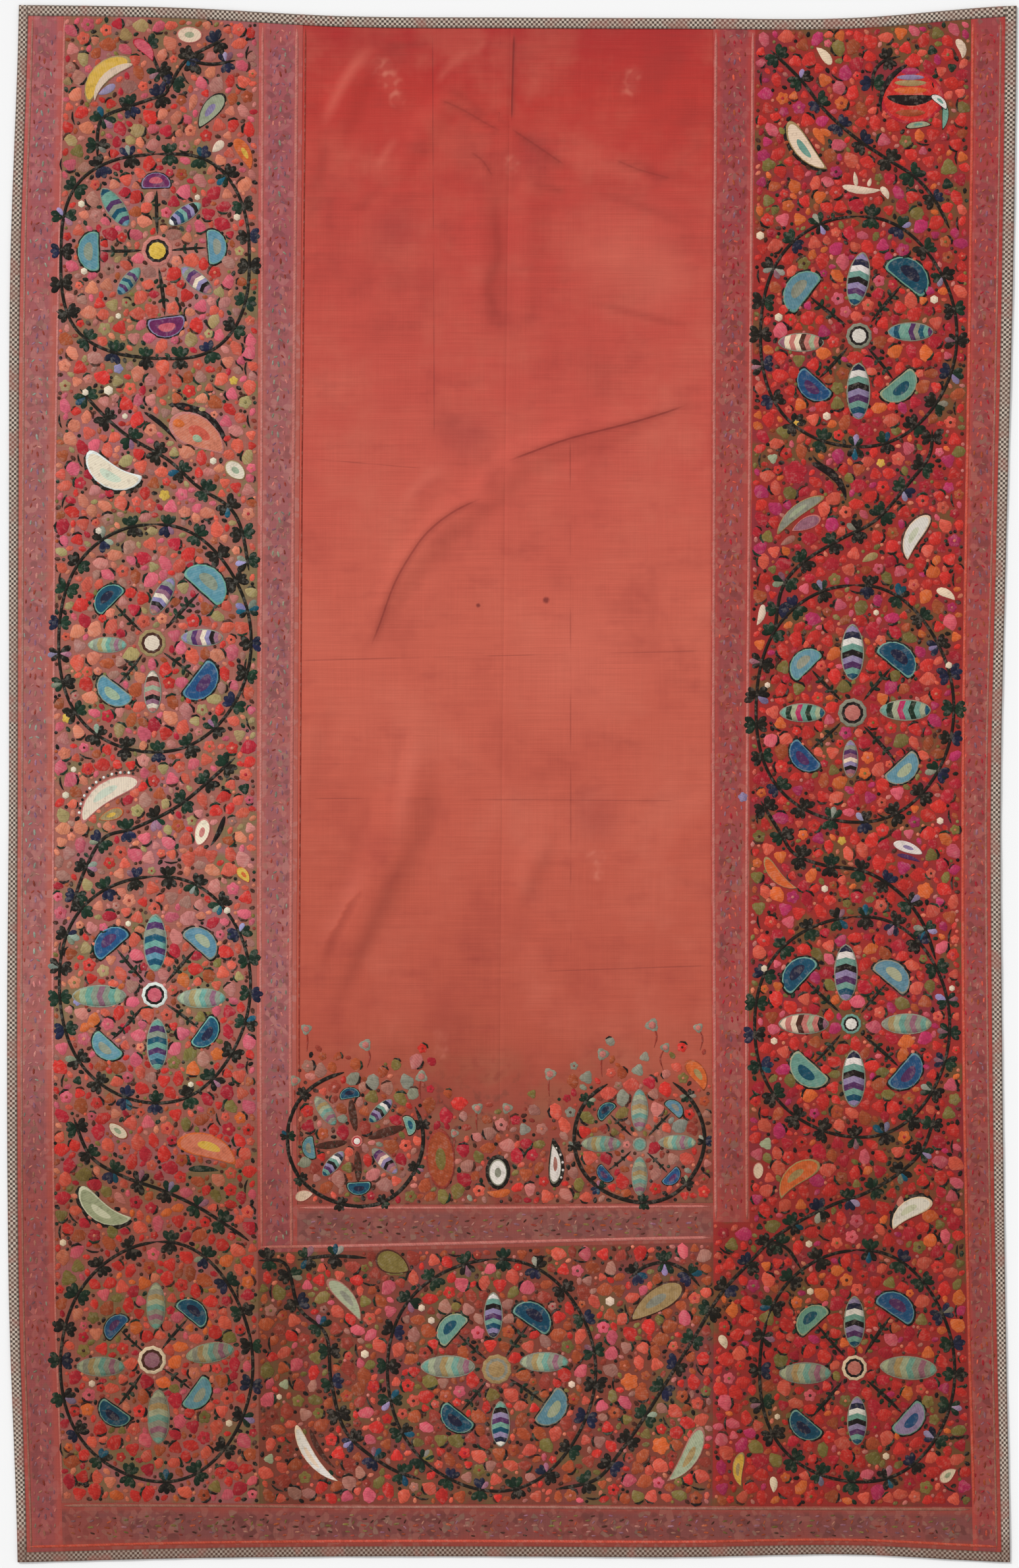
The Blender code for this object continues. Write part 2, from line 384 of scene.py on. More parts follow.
class Finish:
    """A material of woven or worked silk."""

    def __init__(self, name, roughness, sheen=0.0):
        self.material = bpy.data.materials.new(name)
        self.material.use_nodes = True
        self.tree = self.material.node_tree
        self.shader = self.tree.nodes["Principled BSDF"]
        self.shader.inputs["Roughness"].default_value = roughness
        self.shader.inputs["Sheen Weight"].default_value = sheen
        self.shader.inputs["Sheen Roughness"].default_value = 0.45
        self.shader.inputs["Specular IOR Level"].default_value = 0.3
        self.place = self.node("ShaderNodeTexCoord", output="Object")
        self.x, self.y = self.parts(self.place)[:2]
        self.up = (self.y - float(cad_low.y)) / float(cad_high.y - cad_low.y)

    def node(self, kind, settings=None, inputs=(), output=0):
        """Makes a node, sets it up, feeds it, and gives back one output as a wire."""
        node = self.tree.nodes.new(kind)
        for name, value in (settings or {}).items():
            if name == "stops":
                self.set_stops(node.color_ramp, value)
            else:
                setattr(node, name, value)
        slots = inputs.items() if isinstance(inputs, dict) else enumerate(inputs)
        for slot, value in slots:
            self.feed(node.inputs[slot], value)
        return Wire(self, node.outputs[output])

    def parts(self, vector):
        """The three numbers of a vector or colour."""
        first = self.node("ShaderNodeSeparateXYZ", None, [vector])
        return [Wire(self, socket) for socket in first.socket.node.outputs]

    def set_stops(self, ramp, stops):
        while len(ramp.elements) < len(stops):
            ramp.elements.new(0.5)
        for element, (position, colour) in zip(ramp.elements, stops):
            element.position = position
            element.color = (*colour, 1.0)

    def feed(self, socket, value):
        if isinstance(value, Wire):
            self.tree.links.new(value.socket, socket)
        elif value is not None:
            socket.default_value = (*value, 1.0) if socket.type == "RGBA" else value

    def noise(self, scale, detail=3.0, roughness=0.55, stretch=(1.0, 1.0, 1.0)):
        """Noise on the place on the cloth, with each axis multiplied by its own stretch."""
        place = self.node("ShaderNodeVectorMath", {"operation": "MULTIPLY"},
                          [self.place, stretch])
        return self.node("ShaderNodeTexNoise", None,
                         {"Vector": place, "Scale": scale, "Detail": detail,
                          "Roughness": roughness})

    def woven(self, ribs=90.0):
        """The uneven threads of the weft and of the warp; ribs is how closely the weft lies."""
        return (self.noise(9.0, 2.0, 0.7, (1.0, ribs, 1.0)),
                self.noise(9.0, 2.0, 0.7, (90.0, 1.0, 1.0)))

    def ramp(self, factor, stops):
        return self.node("ShaderNodeValToRGB", {"stops": stops}, [factor])

    def mix(self, factor, first, second, blend="MIX"):
        settings = {"data_type": "RGBA", "blend_type": blend}
        return self.node("ShaderNodeMix", settings,
                         {"Factor": factor, 6: first, 7: second}, output=2)

    def spot(self, across, down, radius):
        """1 at a place read off the drawing, dying away to 0 at the radius."""
        spot = (from_drawing([across, down]) + PLAN_ORIGIN) * MM
        settings = {"operation": "DISTANCE"}
        distance = self.node("ShaderNodeVectorMath", settings,
                             [self.place, (*spot, 0.0)], output="Value")
        return distance.limited(radius * MM, 0.0)

    def spots(self, places):
        """Several spots, added up."""
        return reduce(add, [self.spot(*place) for place in places])

    def browned(self, base, tint):
        """The colour times the tint, darker and browner at the foot of the side strips."""
        foot = self.up.limited(0.36, 0.22) * abs(self.x).limited(0.29, 0.33)
        return self.mix(foot, base, tint, "MULTIPLY")

    def washed(self, base):
        """The colour, paler where washing has turned the middle of the left border."""
        middle = self.up.limited(0.24, 0.34) * self.up.limited(1.05, 0.72)
        return self.mix(middle * self.x.limited(-0.35, -0.40), base, WASHED_TINT, "MULTIPLY")

    def colour(self, wire):
        self.feed(self.shader.inputs["Base Color"], wire)

    def roughness(self, wire):
        self.feed(self.shader.inputs["Roughness"], wire)

    def bump(self, height, strength, distance=0.4):
        settings = {"Height": height, "Strength": strength, "Distance": distance * MM}
        self.feed(self.shader.inputs["Normal"],
                  self.node("ShaderNodeBump", None, settings))


print("finishes are wired")

# %% [markdown]
# A cloth that was used, washed and folded away for many years is marked all over. These tables
# place the marks of the field: bleached spots, paler areas with a painted glow of light, washed
# areas, two dark stains, painted shade and painted highlights beside the creases, and the
# straight lines where it was pressed.

# %% Marks of wear and painted shade on the field
# Columns: millimetres across and down the drawing, and radius.
PALE_SPOTS = ((580, 104, 24), (594, 124, 26), (602, 148, 20), (962, 112, 18), (956, 134, 20),
              (904, 1300, 20), (905, 1326, 15), (668, 1572, 16), (670, 1596, 16), (776, 250, 20))
# The two paler areas at the upper right are a painted glow of light; the lower one is a plain
# paler patch.
PALE_AND_GLOW_AREAS = ((955, 385, 120), (1000, 430, 80), (880, 1010, 150))
STAINS = ((829, 911, 9.5), (726, 919, 6.5))
WASHED_AREAS = ((498, 1700, 55), (592, 1772, 55), (975, 1737, 95))
SHADES = ((708, 662, 60), (905, 1240, 60), (815, 235, 50), (600, 350, 60))
# Columns: strength of the painted shade beside a fold, below 0 for a painted highlight on the
# fold's lit side, half width, and the line's points, across and down the drawing.
FOLD_SHADING_LINES = (
    (1.0, 7, ((1046, 614), (1010, 627), (950, 645), (864, 667), (800, 690), (768, 702))),
    (1.0, 8, ((735, 756), (690, 777), (650, 808), (622, 846), (598, 890), (577, 948),
              (562, 985))),
    (0.9, 6, ((781, 50), (779, 110), (777, 186))),
    (0.5, 16, ((768, 702), (748, 724), (735, 756))),
    (0.5, 7, ((862, 676), (810, 688), (770, 700))),
    (-0.8, 13, ((572, 58), (524, 122), (484, 204))),
    (-0.6, 10, ((606, 204), (586, 232), (566, 266))),
    (-0.5, 11, ((720, 72), (692, 92), (664, 120))),
    (-0.5, 20, ((642, 1095), (616, 1190), (602, 1300))),
    (-0.5, 24, ((560, 1300), (520, 1380), (480, 1450))),
    (-0.5, 14, ((690, 700), (640, 730), (600, 780))),
    (0.8, 7, ((666, 152), (700, 166), (742, 190), (762, 200))),
    (0.5, 9, ((650, 128), (690, 140), (728, 168), (752, 196))),
    (0.9, 8, ((776, 196), (806, 216), (838, 238), (858, 252))),
    (0.8, 7, ((716, 232), (734, 246), (748, 268))),
    (0.7, 7, ((820, 280), (842, 288), (864, 290))),
    (0.8, 7, ((934, 243), (970, 258), (1020, 272))),
    (0.7, 9, ((528, 312), (548, 314), (566, 308))),
    (0.7, 16, ((770, 262), (751, 318), (757, 385), (742, 438), (758, 492), (748, 540))),
    (0.7, 14, ((498, 200), (488, 250), (484, 300))),
    (0.7, 12, ((560, 1330), (528, 1380), (500, 1440), (486, 1490))),
    (-0.6, 8, ((700, 86), (676, 108), (662, 132))),
    (-0.5, 9, ((740, 60), (716, 84))),
    (0.4, 11, ((560, 90), (610, 70), (680, 60))),
    (0.4, 10, ((715, 130), (770, 190), (840, 240), (900, 262))),
    (0.35, 12, ((540, 330), (560, 300), (600, 270))),
    (0.4, 10, ((900, 240), (990, 262), (1075, 276))),
    (0.55, 18, ((660, 1225), (625, 1290), (590, 1350), (550, 1440), (510, 1530), (482, 1605))),
    (0.30, 32, ((776, 226), (748, 330), (760, 430), (738, 540))),
    (0.40, 18, ((505, 165), (482, 260), (468, 360))),
    (0.6, 9, ((806, 226), (866, 260))),
    (0.5, 9, ((950, 238), (1012, 270))),
    (0.5, 10, ((885, 288), (970, 312), (1062, 352))),
    (0.7, 9, ((880, 458), (940, 470), (1018, 489), (1066, 494))),
    (0.35, 22, ((505, 1045), (482, 1150), (462, 1260))),
    (0.35, 12, ((612, 1100), (592, 1190))),
    (0.30, 14, ((845, 1262), (815, 1325), (785, 1390))),
)
# Columns: half width, and the two ends of each pressed fold, across and down the drawing.
PRESSED_FOLDS = (
    (1.6, (657, 48), (660, 730)),
    (1.6, (866, 660), (867, 1440)),
    (1.4, (452, 1003), (1078, 988)),
    (1.2, (452, 695), (650, 712)),
    (1.2, (470, 1212), (1075, 1216)),
    (1.2, (664, 1480), (1075, 1466)),
)
print("the red field has", len(FOLD_SHADING_LINES), "shaded creases and", len(PRESSED_FOLDS), "folds")

# %% [markdown]
# The plain field is a hand-woven half-silk with fine ribs, dyed with cochineal. Light and
# washing have turned its middle to salmon, while the top, kept in the dark of a fold, is still
# deep red. A ramp along the length gives that fade, a stretched noise gives the ribs their
# unevenness, and small round masks give the bleached and stained spots. A mask of the distance
# to a straight line gives each pressed fold.

# %% The red field
# Mesh attributes: painted shade and painted highlights beside the folds, the distance to a sharp
# crease, and the strength of its painted line of shade.
FIELD_MARKS = ("dirt", "crease", "press")


def pressed_fold(finish, half_width, start, end):
    """1 on a straight pressed line between two places, read off the drawing."""
    first, last = (from_drawing([start, end]) + PLAN_ORIGIN) * MM
    run = last - first
    length = float(np.hypot(*run))
    unit = run / length
    x, y = finish.x - float(first[0]), finish.y - float(first[1])
    lengthways = x * float(unit[0]) + y * float(unit[1])
    sideways = abs(x * float(-unit[1]) + y * float(unit[0]))
    on_line = sideways.limited(half_width * MM, half_width * MM * 0.3)
    ends = lengthways.limited(0.0, 0.02) * lengthways.limited(length, length - 0.02)
    broken = finish.noise(9.0, 2.0).limited(0.38, 0.55)
    return on_line * ends * broken


def field_finish():
    finish = Finish("ribbed_red_cloth", 0.86, sheen=0.12)
    up = finish.up
    fade = finish.ramp(up + (finish.noise(2.2, 2.0) - 0.5) * 0.16, [
        (0.22, silk(150, 76, 60)),
        (0.31, silk(176, 82, 60)),
        (0.36, silk(190, 86, 66)),
        (0.46, silk(200, 92, 72)),
        (0.60, silk(210, 100, 80)),
        (0.72, silk(205, 87, 73)),
        (0.86, silk(198, 72, 62)),
        (0.93, silk(194, 56, 48)),
        (0.985, silk(178, 44, 44)),
    ])
    blotches = finish.noise(7.0, 4.0, 0.6).limited(0.40, 0.72)
    base = finish.mix(blotches * 0.30, fade, silk(214, 112, 90))
    deep = finish.noise(13.0, 3.0, 0.6, (1.0, 1.7, 1.0)).limited(0.52, 0.75)
    base = finish.mix(deep * 0.22, base, silk(150, 56, 52))
    rows = finish.noise(5.0, 2.0, 0.6, (0.5, 26.0, 1.0)).limited(0.35, 0.70)
    base = finish.mix(rows * 0.09, base, silk(160, 66, 56))
    wander = finish.noise(6.0, 4.0, 0.6) - 0.5
    base = finish.mix(wander.limited(0.0, 0.2) * 0.26, base, silk(218, 118, 96))
    base = finish.mix((wander * -1.0).limited(0.0, 0.2) * 0.26, base, silk(150, 52, 48))
    # Paler areas: the two at the upper right are a painted glow of light.
    for area in PALE_AND_GLOW_AREAS:
        base = finish.mix(finish.spot(*area) * 0.34, base, silk(222, 116, 96))
    ribs, warp = finish.woven(110.0)
    threads = (ribs * 0.7 + warp * 0.3).limited(0.32, 0.68)
    base = finish.mix(0.34 * threads, base, finish.mix(1.0, base, (0.55, 0.52, 0.50), "MULTIPLY"))
    pale = finish.spots(PALE_SPOTS)
    specks = finish.noise(95.0, 0.0).limited(0.40, 0.80) * 0.8 + 0.2
    base = finish.mix(pale * specks * 0.5, base, silk(226, 138, 116))
    ragged = finish.noise(220.0, 2.0) * 0.7 + 0.55
    stain = finish.spots(STAINS)
    base = finish.mix((stain * ragged).limited(0.12, 0.75) * 0.75, base, silk(104, 32, 34))
    shade = finish.spots(SHADES)
    base = finish.mix(shade * 0.24, base, silk(126, 48, 52))
    foot = (up + (finish.noise(9.0, 2.0) - 0.5) * 0.06).limited(0.345, 0.27)
    ground = finish.mix(finish.noise(16.0, 3.0).limited(0.42, 0.6), silk(136, 56, 46),
                        silk(128, 84, 62))
    ground = finish.mix(finish.noise(60.0, 3.0).limited(0.52, 0.66), ground, silk(84, 44, 38))
    base = finish.mix(foot * 0.7, base, ground)
    washed = finish.spots(WASHED_AREAS) * finish.noise(24.0, 3.0, 0.6).limited(0.36, 0.58)
    base = finish.mix(washed * 0.6, base, silk(168, 130, 116))
    folds = reduce(add, [pressed_fold(finish, *fold) for fold in PRESSED_FOLDS])
    base = finish.mix(folds * 0.30, base, silk(112, 42, 40))
    dirt, crease, press = (finish.node("ShaderNodeAttribute", {"attribute_name": name},
                                       output="Fac") for name in FIELD_MARKS)
    # Painted shade beside the folds; where the strength is below 0 it is a painted highlight on a
    # fold's lit side.
    base = finish.mix(dirt * 0.42, base, silk(120, 40, 34))
    base = finish.mix(dirt * -0.40, base, silk(226, 122, 102))
    # A fine line of painted shade along each sharp crease, also sunk in the bump.
    line = abs(crease).limited(2.1, 0.5) * press
    base = finish.mix(line * 0.54, base, silk(128, 42, 38))
    finish.colour(base)
    ripples = finish.noise(14.0, 3.0, 0.5, (1.6, 0.8, 1.0))
    finish.bump(ribs * 0.8 + warp * 0.4 - folds * 0.8 - line * 1.5 + ripples * 3.0, 0.6, 0.6)
    return finish.material


print("the field's finish reads", ", ".join(FIELD_MARKS), "from its mesh")

# %% [markdown]
# Painted shade lies beside each crease and follows it, with a painted highlight on the lit side
# of some folds, so it is measured from the crease lines, point by point, and kept as an
# attribute of the mesh. The sharpest lines also keep the distance to their crest, with its sign,
# so that the finish can paint their line of shade finer than the grid's squares.

# %% Painted shade beside the creases
# The rows of the table of fold shading that are also drawn as a fine line of painted shade,
# and how strongly.
SHARP_LINES = {0: 1.0, 1: 0.8, 2: 1.2, 11: 0.45, 13: 0.6, 14: 0.5, 16: 0.45}
# The share of a line's length over which each end dies away.
SHARP_FADE = 0.12
SOFT_FADE = 0.34
# Millimetres: how far from a sharp line its distance is kept, and the part of that in which
# the line's strength dies away.
CREASE_REACH = 24.0
CREASE_EDGE = 10.0


def smooth_line(points):
    shares = np.linspace(0.0, 1.0, 8 * len(points))
    return np.stack([along(points[:, 0], shares), along(points[:, 1], shares)], axis=-1)


def side_of(places, line, share):
    """1 on one side of a line and -1 on the other."""
    at = np.clip((share * (len(line) - 1)).astype(int), 0, len(line) - 2)
    run, gone = line[at + 1] - line[at], places - line[at]
    return np.where(run[:, 0] * gone[:, 1] > run[:, 1] * gone[:, 0], 1.0, -1.0)


def add_dirt(piece):
    """Keeps the painted shade and highlights beside the creases, and each sharp crease's painted
    shade line, on a field sheet.
    """
    mesh = piece.data
    points = np.empty(len(mesh.vertices) * 3, np.float32)
    mesh.vertices.foreach_get("co", points)
    places = points.reshape(-1, 3)[:, :2] / MM - PLAN_ORIGIN
    dirt, press = np.zeros(len(places)), np.zeros(len(places))
    crease = np.full(len(places), CREASE_REACH * 1.25)
    for number, (strength, half_width, line) in enumerate(FOLD_SHADING_LINES):
        line = smooth_line(from_drawing(line))
        distance, share = nearest_on_line(places, line)
        fade = SHARP_FADE if number in SHARP_LINES else SOFT_FADE
        ends = smooth_step(share / fade) * smooth_step((1 - share) / fade)
        near = strength * ends * np.clip(1 - distance / half_width, 0.0, 1.0)
        dirt = np.where(np.abs(near) > np.abs(dirt), near, dirt)
        if number in SHARP_LINES:
            nearer = distance < np.minimum(np.abs(crease), CREASE_REACH)
            crease[nearer] = (distance * side_of(places, line, share))[nearer]
            close = smooth_step((CREASE_REACH - distance) / CREASE_EDGE)
            strong = SHARP_LINES[number] * ends * close
            press[nearer] = strong[nearer]
    for name, values in zip(FIELD_MARKS, (dirt, crease, press)):
        layer = mesh.attributes.new(name, "FLOAT", "POINT")
        layer.data.foreach_set("value", values.astype(np.float32))


print(len(SHARP_LINES), "of the creases have a sharp line")

# %% [markdown]
# The three borders were worked so closely that their cloth only shows in slivers between the
# stitches. It still needs its own colour: warm pinkish brown at the left, deep red at the right
# and brown at the foot, each from its own dye bath, with olive and mauve where silk of those
# colours was worked flat. A noise with soft edges spreads those tints. The silk of the left
# border's highest roundel has worn pale, and its cloth with it.

# %% Cloth of the borders
# Columns: ground, and the two tints that are spread on it.
BORDER_TONES = {
    "left": (silk(164, 92, 78), silk(130, 104, 70), silk(166, 96, 96)),
    "right": (silk(160, 42, 36), silk(114, 76, 42), silk(142, 42, 50)),
    "bottom": (silk(128, 62, 46), silk(108, 84, 50), silk(126, 62, 58)),
}
# Millimetres across and down the drawing, and radius.
FADED_ROUNDEL = (233, 380, 190)


def border_finish(side):
    ground, first, second = BORDER_TONES[side]
    finish = Finish("ground_of_" + side + "_border", 0.84, sheen=0.1)
    spread = finish.noise(11.0, 3.0, 0.6)
    base = finish.mix(spread.limited(0.50, 0.62), ground, first)
    base = finish.mix(finish.noise(9.0, 3.0, 0.6, (1.0, 1.3, 2.0)).limited(0.52, 0.64),
                      base, second)
    weft, warp = finish.woven()
    weave = (weft * 0.5 + warp * 0.5).limited(0.35, 0.65)
    if side == "left":
        worn = finish.spot(*FADED_ROUNDEL) * spread.limited(0.60, 0.40)
        base = finish.mix(worn * 0.6, base, silk(196, 130, 116))
    base = finish.mix(weave * 0.3, base, silk(92, 34, 30))
    finish.colour(finish.washed(finish.browned(base, FOOT_TINT)))
    finish.bump(weft + warp, 0.5, 0.5)
    return finish.material


border_cloth = {side: border_finish(side) for side in BORDER_TONES}
print("grounds for", ", ".join(border_cloth))

# %% [markdown]
# The bands between the borders are narrow strips worked with small figures in mauve and rose,
# faded so far that only a shimmer is left. The material follows the strip, because its map
# runs across and along it: reddish at both edges, mauve down the middle, broken up by small
# cells, browner at the foot and rosier at the head. The edging is a woven braid in black and
# off-white checks, whose map is in millimetres.

# %% Cloth of the bands and the braid
# Columns: edge, middle, dark figures and light figures.
BAND_TONES = {
    "left": (silk(188, 96, 82), silk(160, 92, 94), silk(122, 72, 70), silk(194, 132, 122)),
    "right": (silk(182, 68, 58), silk(152, 72, 72), silk(116, 54, 50), silk(184, 108, 94)),
    "bottom": (silk(152, 64, 52), silk(122, 66, 62), silk(92, 46, 40), silk(158, 96, 82)),
}
NO_TINT = (1.0, 1.0, 1.0)
BAND_FOOT_TINTS = {"left": (0.76, 0.53, 0.52), "right": (0.84, 0.83, 0.79), "bottom": NO_TINT}
BAND_HEAD_TINT = (1.0, 0.82, 0.93)
# Columns: the way it is measured, where the wear starts and is full, in metres, and strength.
WORN_BANDS = {"left": ("x", 0.10, 0.08, 0.06), "bottom": ("y", 0.20, 0.30, 0.06)}


def band_finish(side):
    edge, middle, dark, light = BAND_TONES[side]
    finish = Finish("faded_band_" + side, 0.84, sheen=0.12)
    weave = finish.node("ShaderNodeUVMap", {"uv_map": "weave"})
    across = finish.parts(weave)[0]
    inside = abs(across - 0.5).limited(0.44, 0.22)
    base = finish.mix(inside * (0.6 + 0.6 * finish.noise(14.0, 2.0)), edge, middle)
    cells = finish.node("ShaderNodeTexVoronoi", {"feature": "SMOOTH_F1"},
                        {"Vector": finish.place, "Scale": 115.0, "Smoothness": 0.5},
                        output="Color")
    draw = finish.parts(cells)
    base = finish.mix(draw[0].limited(0.55, 0.85) * inside * 0.6, base, dark)
    base = finish.mix(draw[1].limited(0.58, 0.85) * 0.5, base, light)
    base = finish.mix(draw[2].limited(0.75, 0.9) * inside * 0.5, base, silk(134, 112, 92))
    rose = finish.noise(10.0, 3.0, 0.6).limited(0.48, 0.66)
    base = finish.mix(rose * 0.45, base, edge)
    if side in WORN_BANDS:
        way, start, full, amount = WORN_BANDS[side]
        worn = getattr(finish, way) - float(getattr(cad_low, way))
        base = finish.mix(worn.limited(start, full) * amount, base, silk(212, 150, 138))
    weft, warp = finish.woven()
    base = finish.mix((weft * 0.5 + warp * 0.5).limited(0.35, 0.65) * 0.25, base, dark)
    base = finish.browned(base, BAND_FOOT_TINTS[side])
    finish.colour(finish.mix(finish.up.limited(0.74, 0.86), base, BAND_HEAD_TINT, "MULTIPLY"))
    finish.bump(weft + warp + draw[2], 0.5, 0.5)
    return finish.material


# The side of one check, in millimetres.
BRAID_CHECK = 3.7


def braid_finish():
    finish = Finish("checked_braid", 0.8, sheen=0.1)
    checks = finish.node("ShaderNodeUVMap", {"uv_map": "millimetres"})
    scaled = finish.node("ShaderNodeVectorMath", {"operation": "SCALE"},
                         {0: checks, "Scale": 1.0 / BRAID_CHECK})
    chosen = finish.node("ShaderNodeTexChecker", None,
                         {"Vector": scaled, "Scale": 1.0, "Color1": (1.0, 1.0, 1.0),
                          "Color2": (0.0, 0.0, 0.0)}, output="Fac")
    worn = finish.noise(34.0, 4.0, 0.65).limited(0.35, 0.7)
    dark = finish.mix(worn * 0.6, silk(74, 62, 54), silk(132, 100, 88))
    light = finish.mix(worn * 0.6, silk(208, 192, 176), silk(166, 140, 126))
    base = finish.mix(chosen, dark, light)
    across = finish.parts(finish.node("ShaderNodeUVMap", {"uv_map": "weave"}))[0]
    base = finish.mix(abs(across - 0.5).limited(0.33, 0.45) * 0.6, base, silk(96, 82, 72))
    low = finish.y - float(cad_low.y)
    base = finish.mix(low.limited(0.05, 0.02) * 0.5, base, silk(96, 60, 44))
    stains = finish.noise(24.0, 3.0, 0.6).limited(0.50, 0.66) * 0.45
    finish.colour(finish.mix(stains, base, silk(158, 96, 84)))
    threads = finish.noise(60.0, 2.0, 0.7)
    finish.bump(chosen * 0.5 + threads, 0.7, 0.6)
    return finish.material


band_cloth = {side: band_finish(side) for side in BAND_TONES}
braid_cloth = braid_finish()
print("bands for", ", ".join(band_cloth), "and one braid")

# %% [markdown]
# With every cloth dyed, the fifteen strips are laid out. The field needs the finest grid,
# because its creases bend it, and the braids need small faces for their narrow width.

# %% Lay out the strips
Strip = namedtuple("Strip", "left right foot head thickness step slot")
# Columns: thickness and the step of the grid, in millimetres, and the slot of the finish.
CLOTHS = {
    "field": (FIELD_THICKNESS, 6.0, "field_cloth"),
    "border": (BORDER_THICKNESS, 12.0, "{}_border_silk"),
    "inner": (BAND_THICKNESS, 10.0, "band_silk"),
    "outer": (BAND_THICKNESS, 10.0, "band_silk"),
    "edging": (BRAID_THICKNESS, 5.0, "checked_braid"),
}
# Columns: the seams at the left, right, foot and head of each strip.
BOUNDS = {
    "field_left": ("field_left", "centre_seam", "field_foot", "top_braid"),
    "field_right": ("centre_seam", "field_right", "field_foot", "top_braid"),
    "border_left": ("left_band", "left_border", "border_foot", "top_braid"),
    "border_right": ("field_right", "right_band", "border_foot", "top_braid"),
    "border_bottom": ("left_border", "field_right", "border_foot", "band_foot"),
    "inner_band_left": ("left_border", "field_left", "band_foot", "top_braid"),
    "inner_band_right": ("field_right", "right_border", "border_step", "top_braid"),
    "inner_band_bottom": ("field_left", "field_right", "band_foot", "field_foot"),
    "outer_band_left": ("left_braid", "left_band", "bottom_braid", "top_braid"),
    "outer_band_right": ("right_band", "right_braid", "bottom_braid", "top_braid"),
    "outer_band_bottom": ("left_band", "right_band", "bottom_braid", "border_foot"),
    "edging_left": ("left_edge", "left_braid", "bottom_edge", "top_edge"),
    "edging_right": ("right_braid", "right_edge", "bottom_edge", "top_edge"),
    "edging_top": ("left_braid", "right_braid", "top_braid", "top_edge"),
    "edging_bottom": ("left_braid", "right_braid", "bottom_edge", "bottom_braid"),
}
STRIPS = {}
for name, bounds in BOUNDS.items():
    thickness, step, slot = CLOTHS[name.split("_")[0]]
    STRIPS[name] = Strip(*bounds, thickness, step, slot.format(name.rsplit("_", 1)[-1]))
STEP_NOTCH = ("right_border", "border_step")


def finish_for(name):
    side = name.rsplit("_", 1)[-1]
    if name.startswith("field"):
        return field_cloth
    if name.startswith("border"):
        return border_cloth[side]
    return braid_cloth if name.startswith("edging") else band_cloth[side]


field_cloth = field_finish()
sheets = {}
for name, strip in STRIPS.items():
    notch = STEP_NOTCH if name == "border_right" else None
    piece, size = cloth_sheet("cloth_" + name, strip[:4], strip.thickness, strip.step,
                              finish_for(name), notch)
    if name.startswith("field"):
        add_dirt(piece)
    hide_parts(name)
    sheets[name] = (piece, size)

# %% [markdown]
# Suzani stitches stand up from the cloth, because each shape is filled with long laid threads
# that small stitches tie down. Every worked shape here starts as a round pad. A cone operator
# gives its foot and wall, and extruding the top face again gives rings that step up to a soft
# crown. A function then carries the round pad to a leaf, a crescent or a blossom, so one small
# recipe serves the whole design. Each face keeps a role, such as outline or heart, which picks
# its thread.

# %% Round pads
Shape = namedtuple("Shape", "points stitch corners sizes roles body")
FOOT = -0.5


def read_shape(bm, carry):
    """A shape as arrays, its points carried from the unit disc to their place in millimetres."""
    bm.verts.index_update()
    points = np.array([vert.co[:] for vert in bm.verts])
    # Extruding lists the side faces in an order that varies from run to run, so they are sorted.
    faces = sorted(bm.faces, key=lambda face: face.calc_center_median()[:])
    corners = np.array([vert.index for face in faces for vert in face.verts])
    sizes = np.array([len(face.verts) for face in faces])
    roles = np.array([face.material_index for face in faces])
    bm.free()
    flat = carry(points[:, :2])
    spread = np.stack(np.meshgrid(*[np.linspace(-0.85, 0.85, 7)] * 2), axis=-1).reshape(-1, 2)
    body = carry(spread[np.hypot(*spread.T) < 0.9])
    return Shape(np.column_stack([flat, points[:, 2]]), flat, corners, sizes, roles, body)


def round_pad(sides, rings, carry, crown=0.15):
    """A closed pad. Rings are (radius, height, role), from its foot to its middle."""
    bm = bmesh.new()
    foot, rim = rings[:2]
    bmesh.ops.create_cone(bm, cap_ends=True, segments=sides, radius1=foot[0], radius2=rim[0],
                          depth=2.0)
    for vert in bm.verts:
        vert.co.z = rim[1] if vert.co.z > 0 else foot[1]
    for face in bm.faces:
        face.material_index = rim[2]
    top = max(bm.faces, key=lambda face: face.calc_center_median().z)
    for radius, height, role in rings[2:]:
        before = set(bm.faces)
        top = bmesh.ops.extrude_discrete_faces(bm, faces=[top])["faces"][0]
        for vert in top.verts:
            vert.co.xy *= radius / vert.co.xy.length
            vert.co.z = height
        for face in set(bm.faces) - before:
            face.material_index = role
        top.material_index = role
    bmesh.ops.poke(bm, faces=[top], offset=crown)
    return read_shape(bm, carry)


def leafy(length, width, tip=0.0, tail=0.0, bend=0.0, curl=1.0):
    """Carries a pad to a leaf along y; tip and tail go from 0, round, to 1, pointed."""
    steps = np.linspace(-1.0, 1.0, 129)
    heading = np.radians(bend) * ((steps + 1) / 2) ** curl
    heading -= heading[64]
    spine = np.stack([np.sin(heading), np.cos(heading)], axis=-1)
    spine = np.cumsum(spine, axis=0) * length / 129
    spine -= spine[64]

    def carry(points):
        side, share = points[:, 0], np.clip(points[:, 1], -1.0, 1.0)
        half = width / 2 * side * (1 - share) ** (tip / 2) * (1 + share) ** (tail / 2)
        turn = np.interp(share, steps, heading)
        x = np.interp(share, steps, spine[:, 0]) + half * np.cos(turn)
        y = np.interp(share, steps, spine[:, 1]) - half * np.sin(turn)
        return np.column_stack([x, y])
    return carry


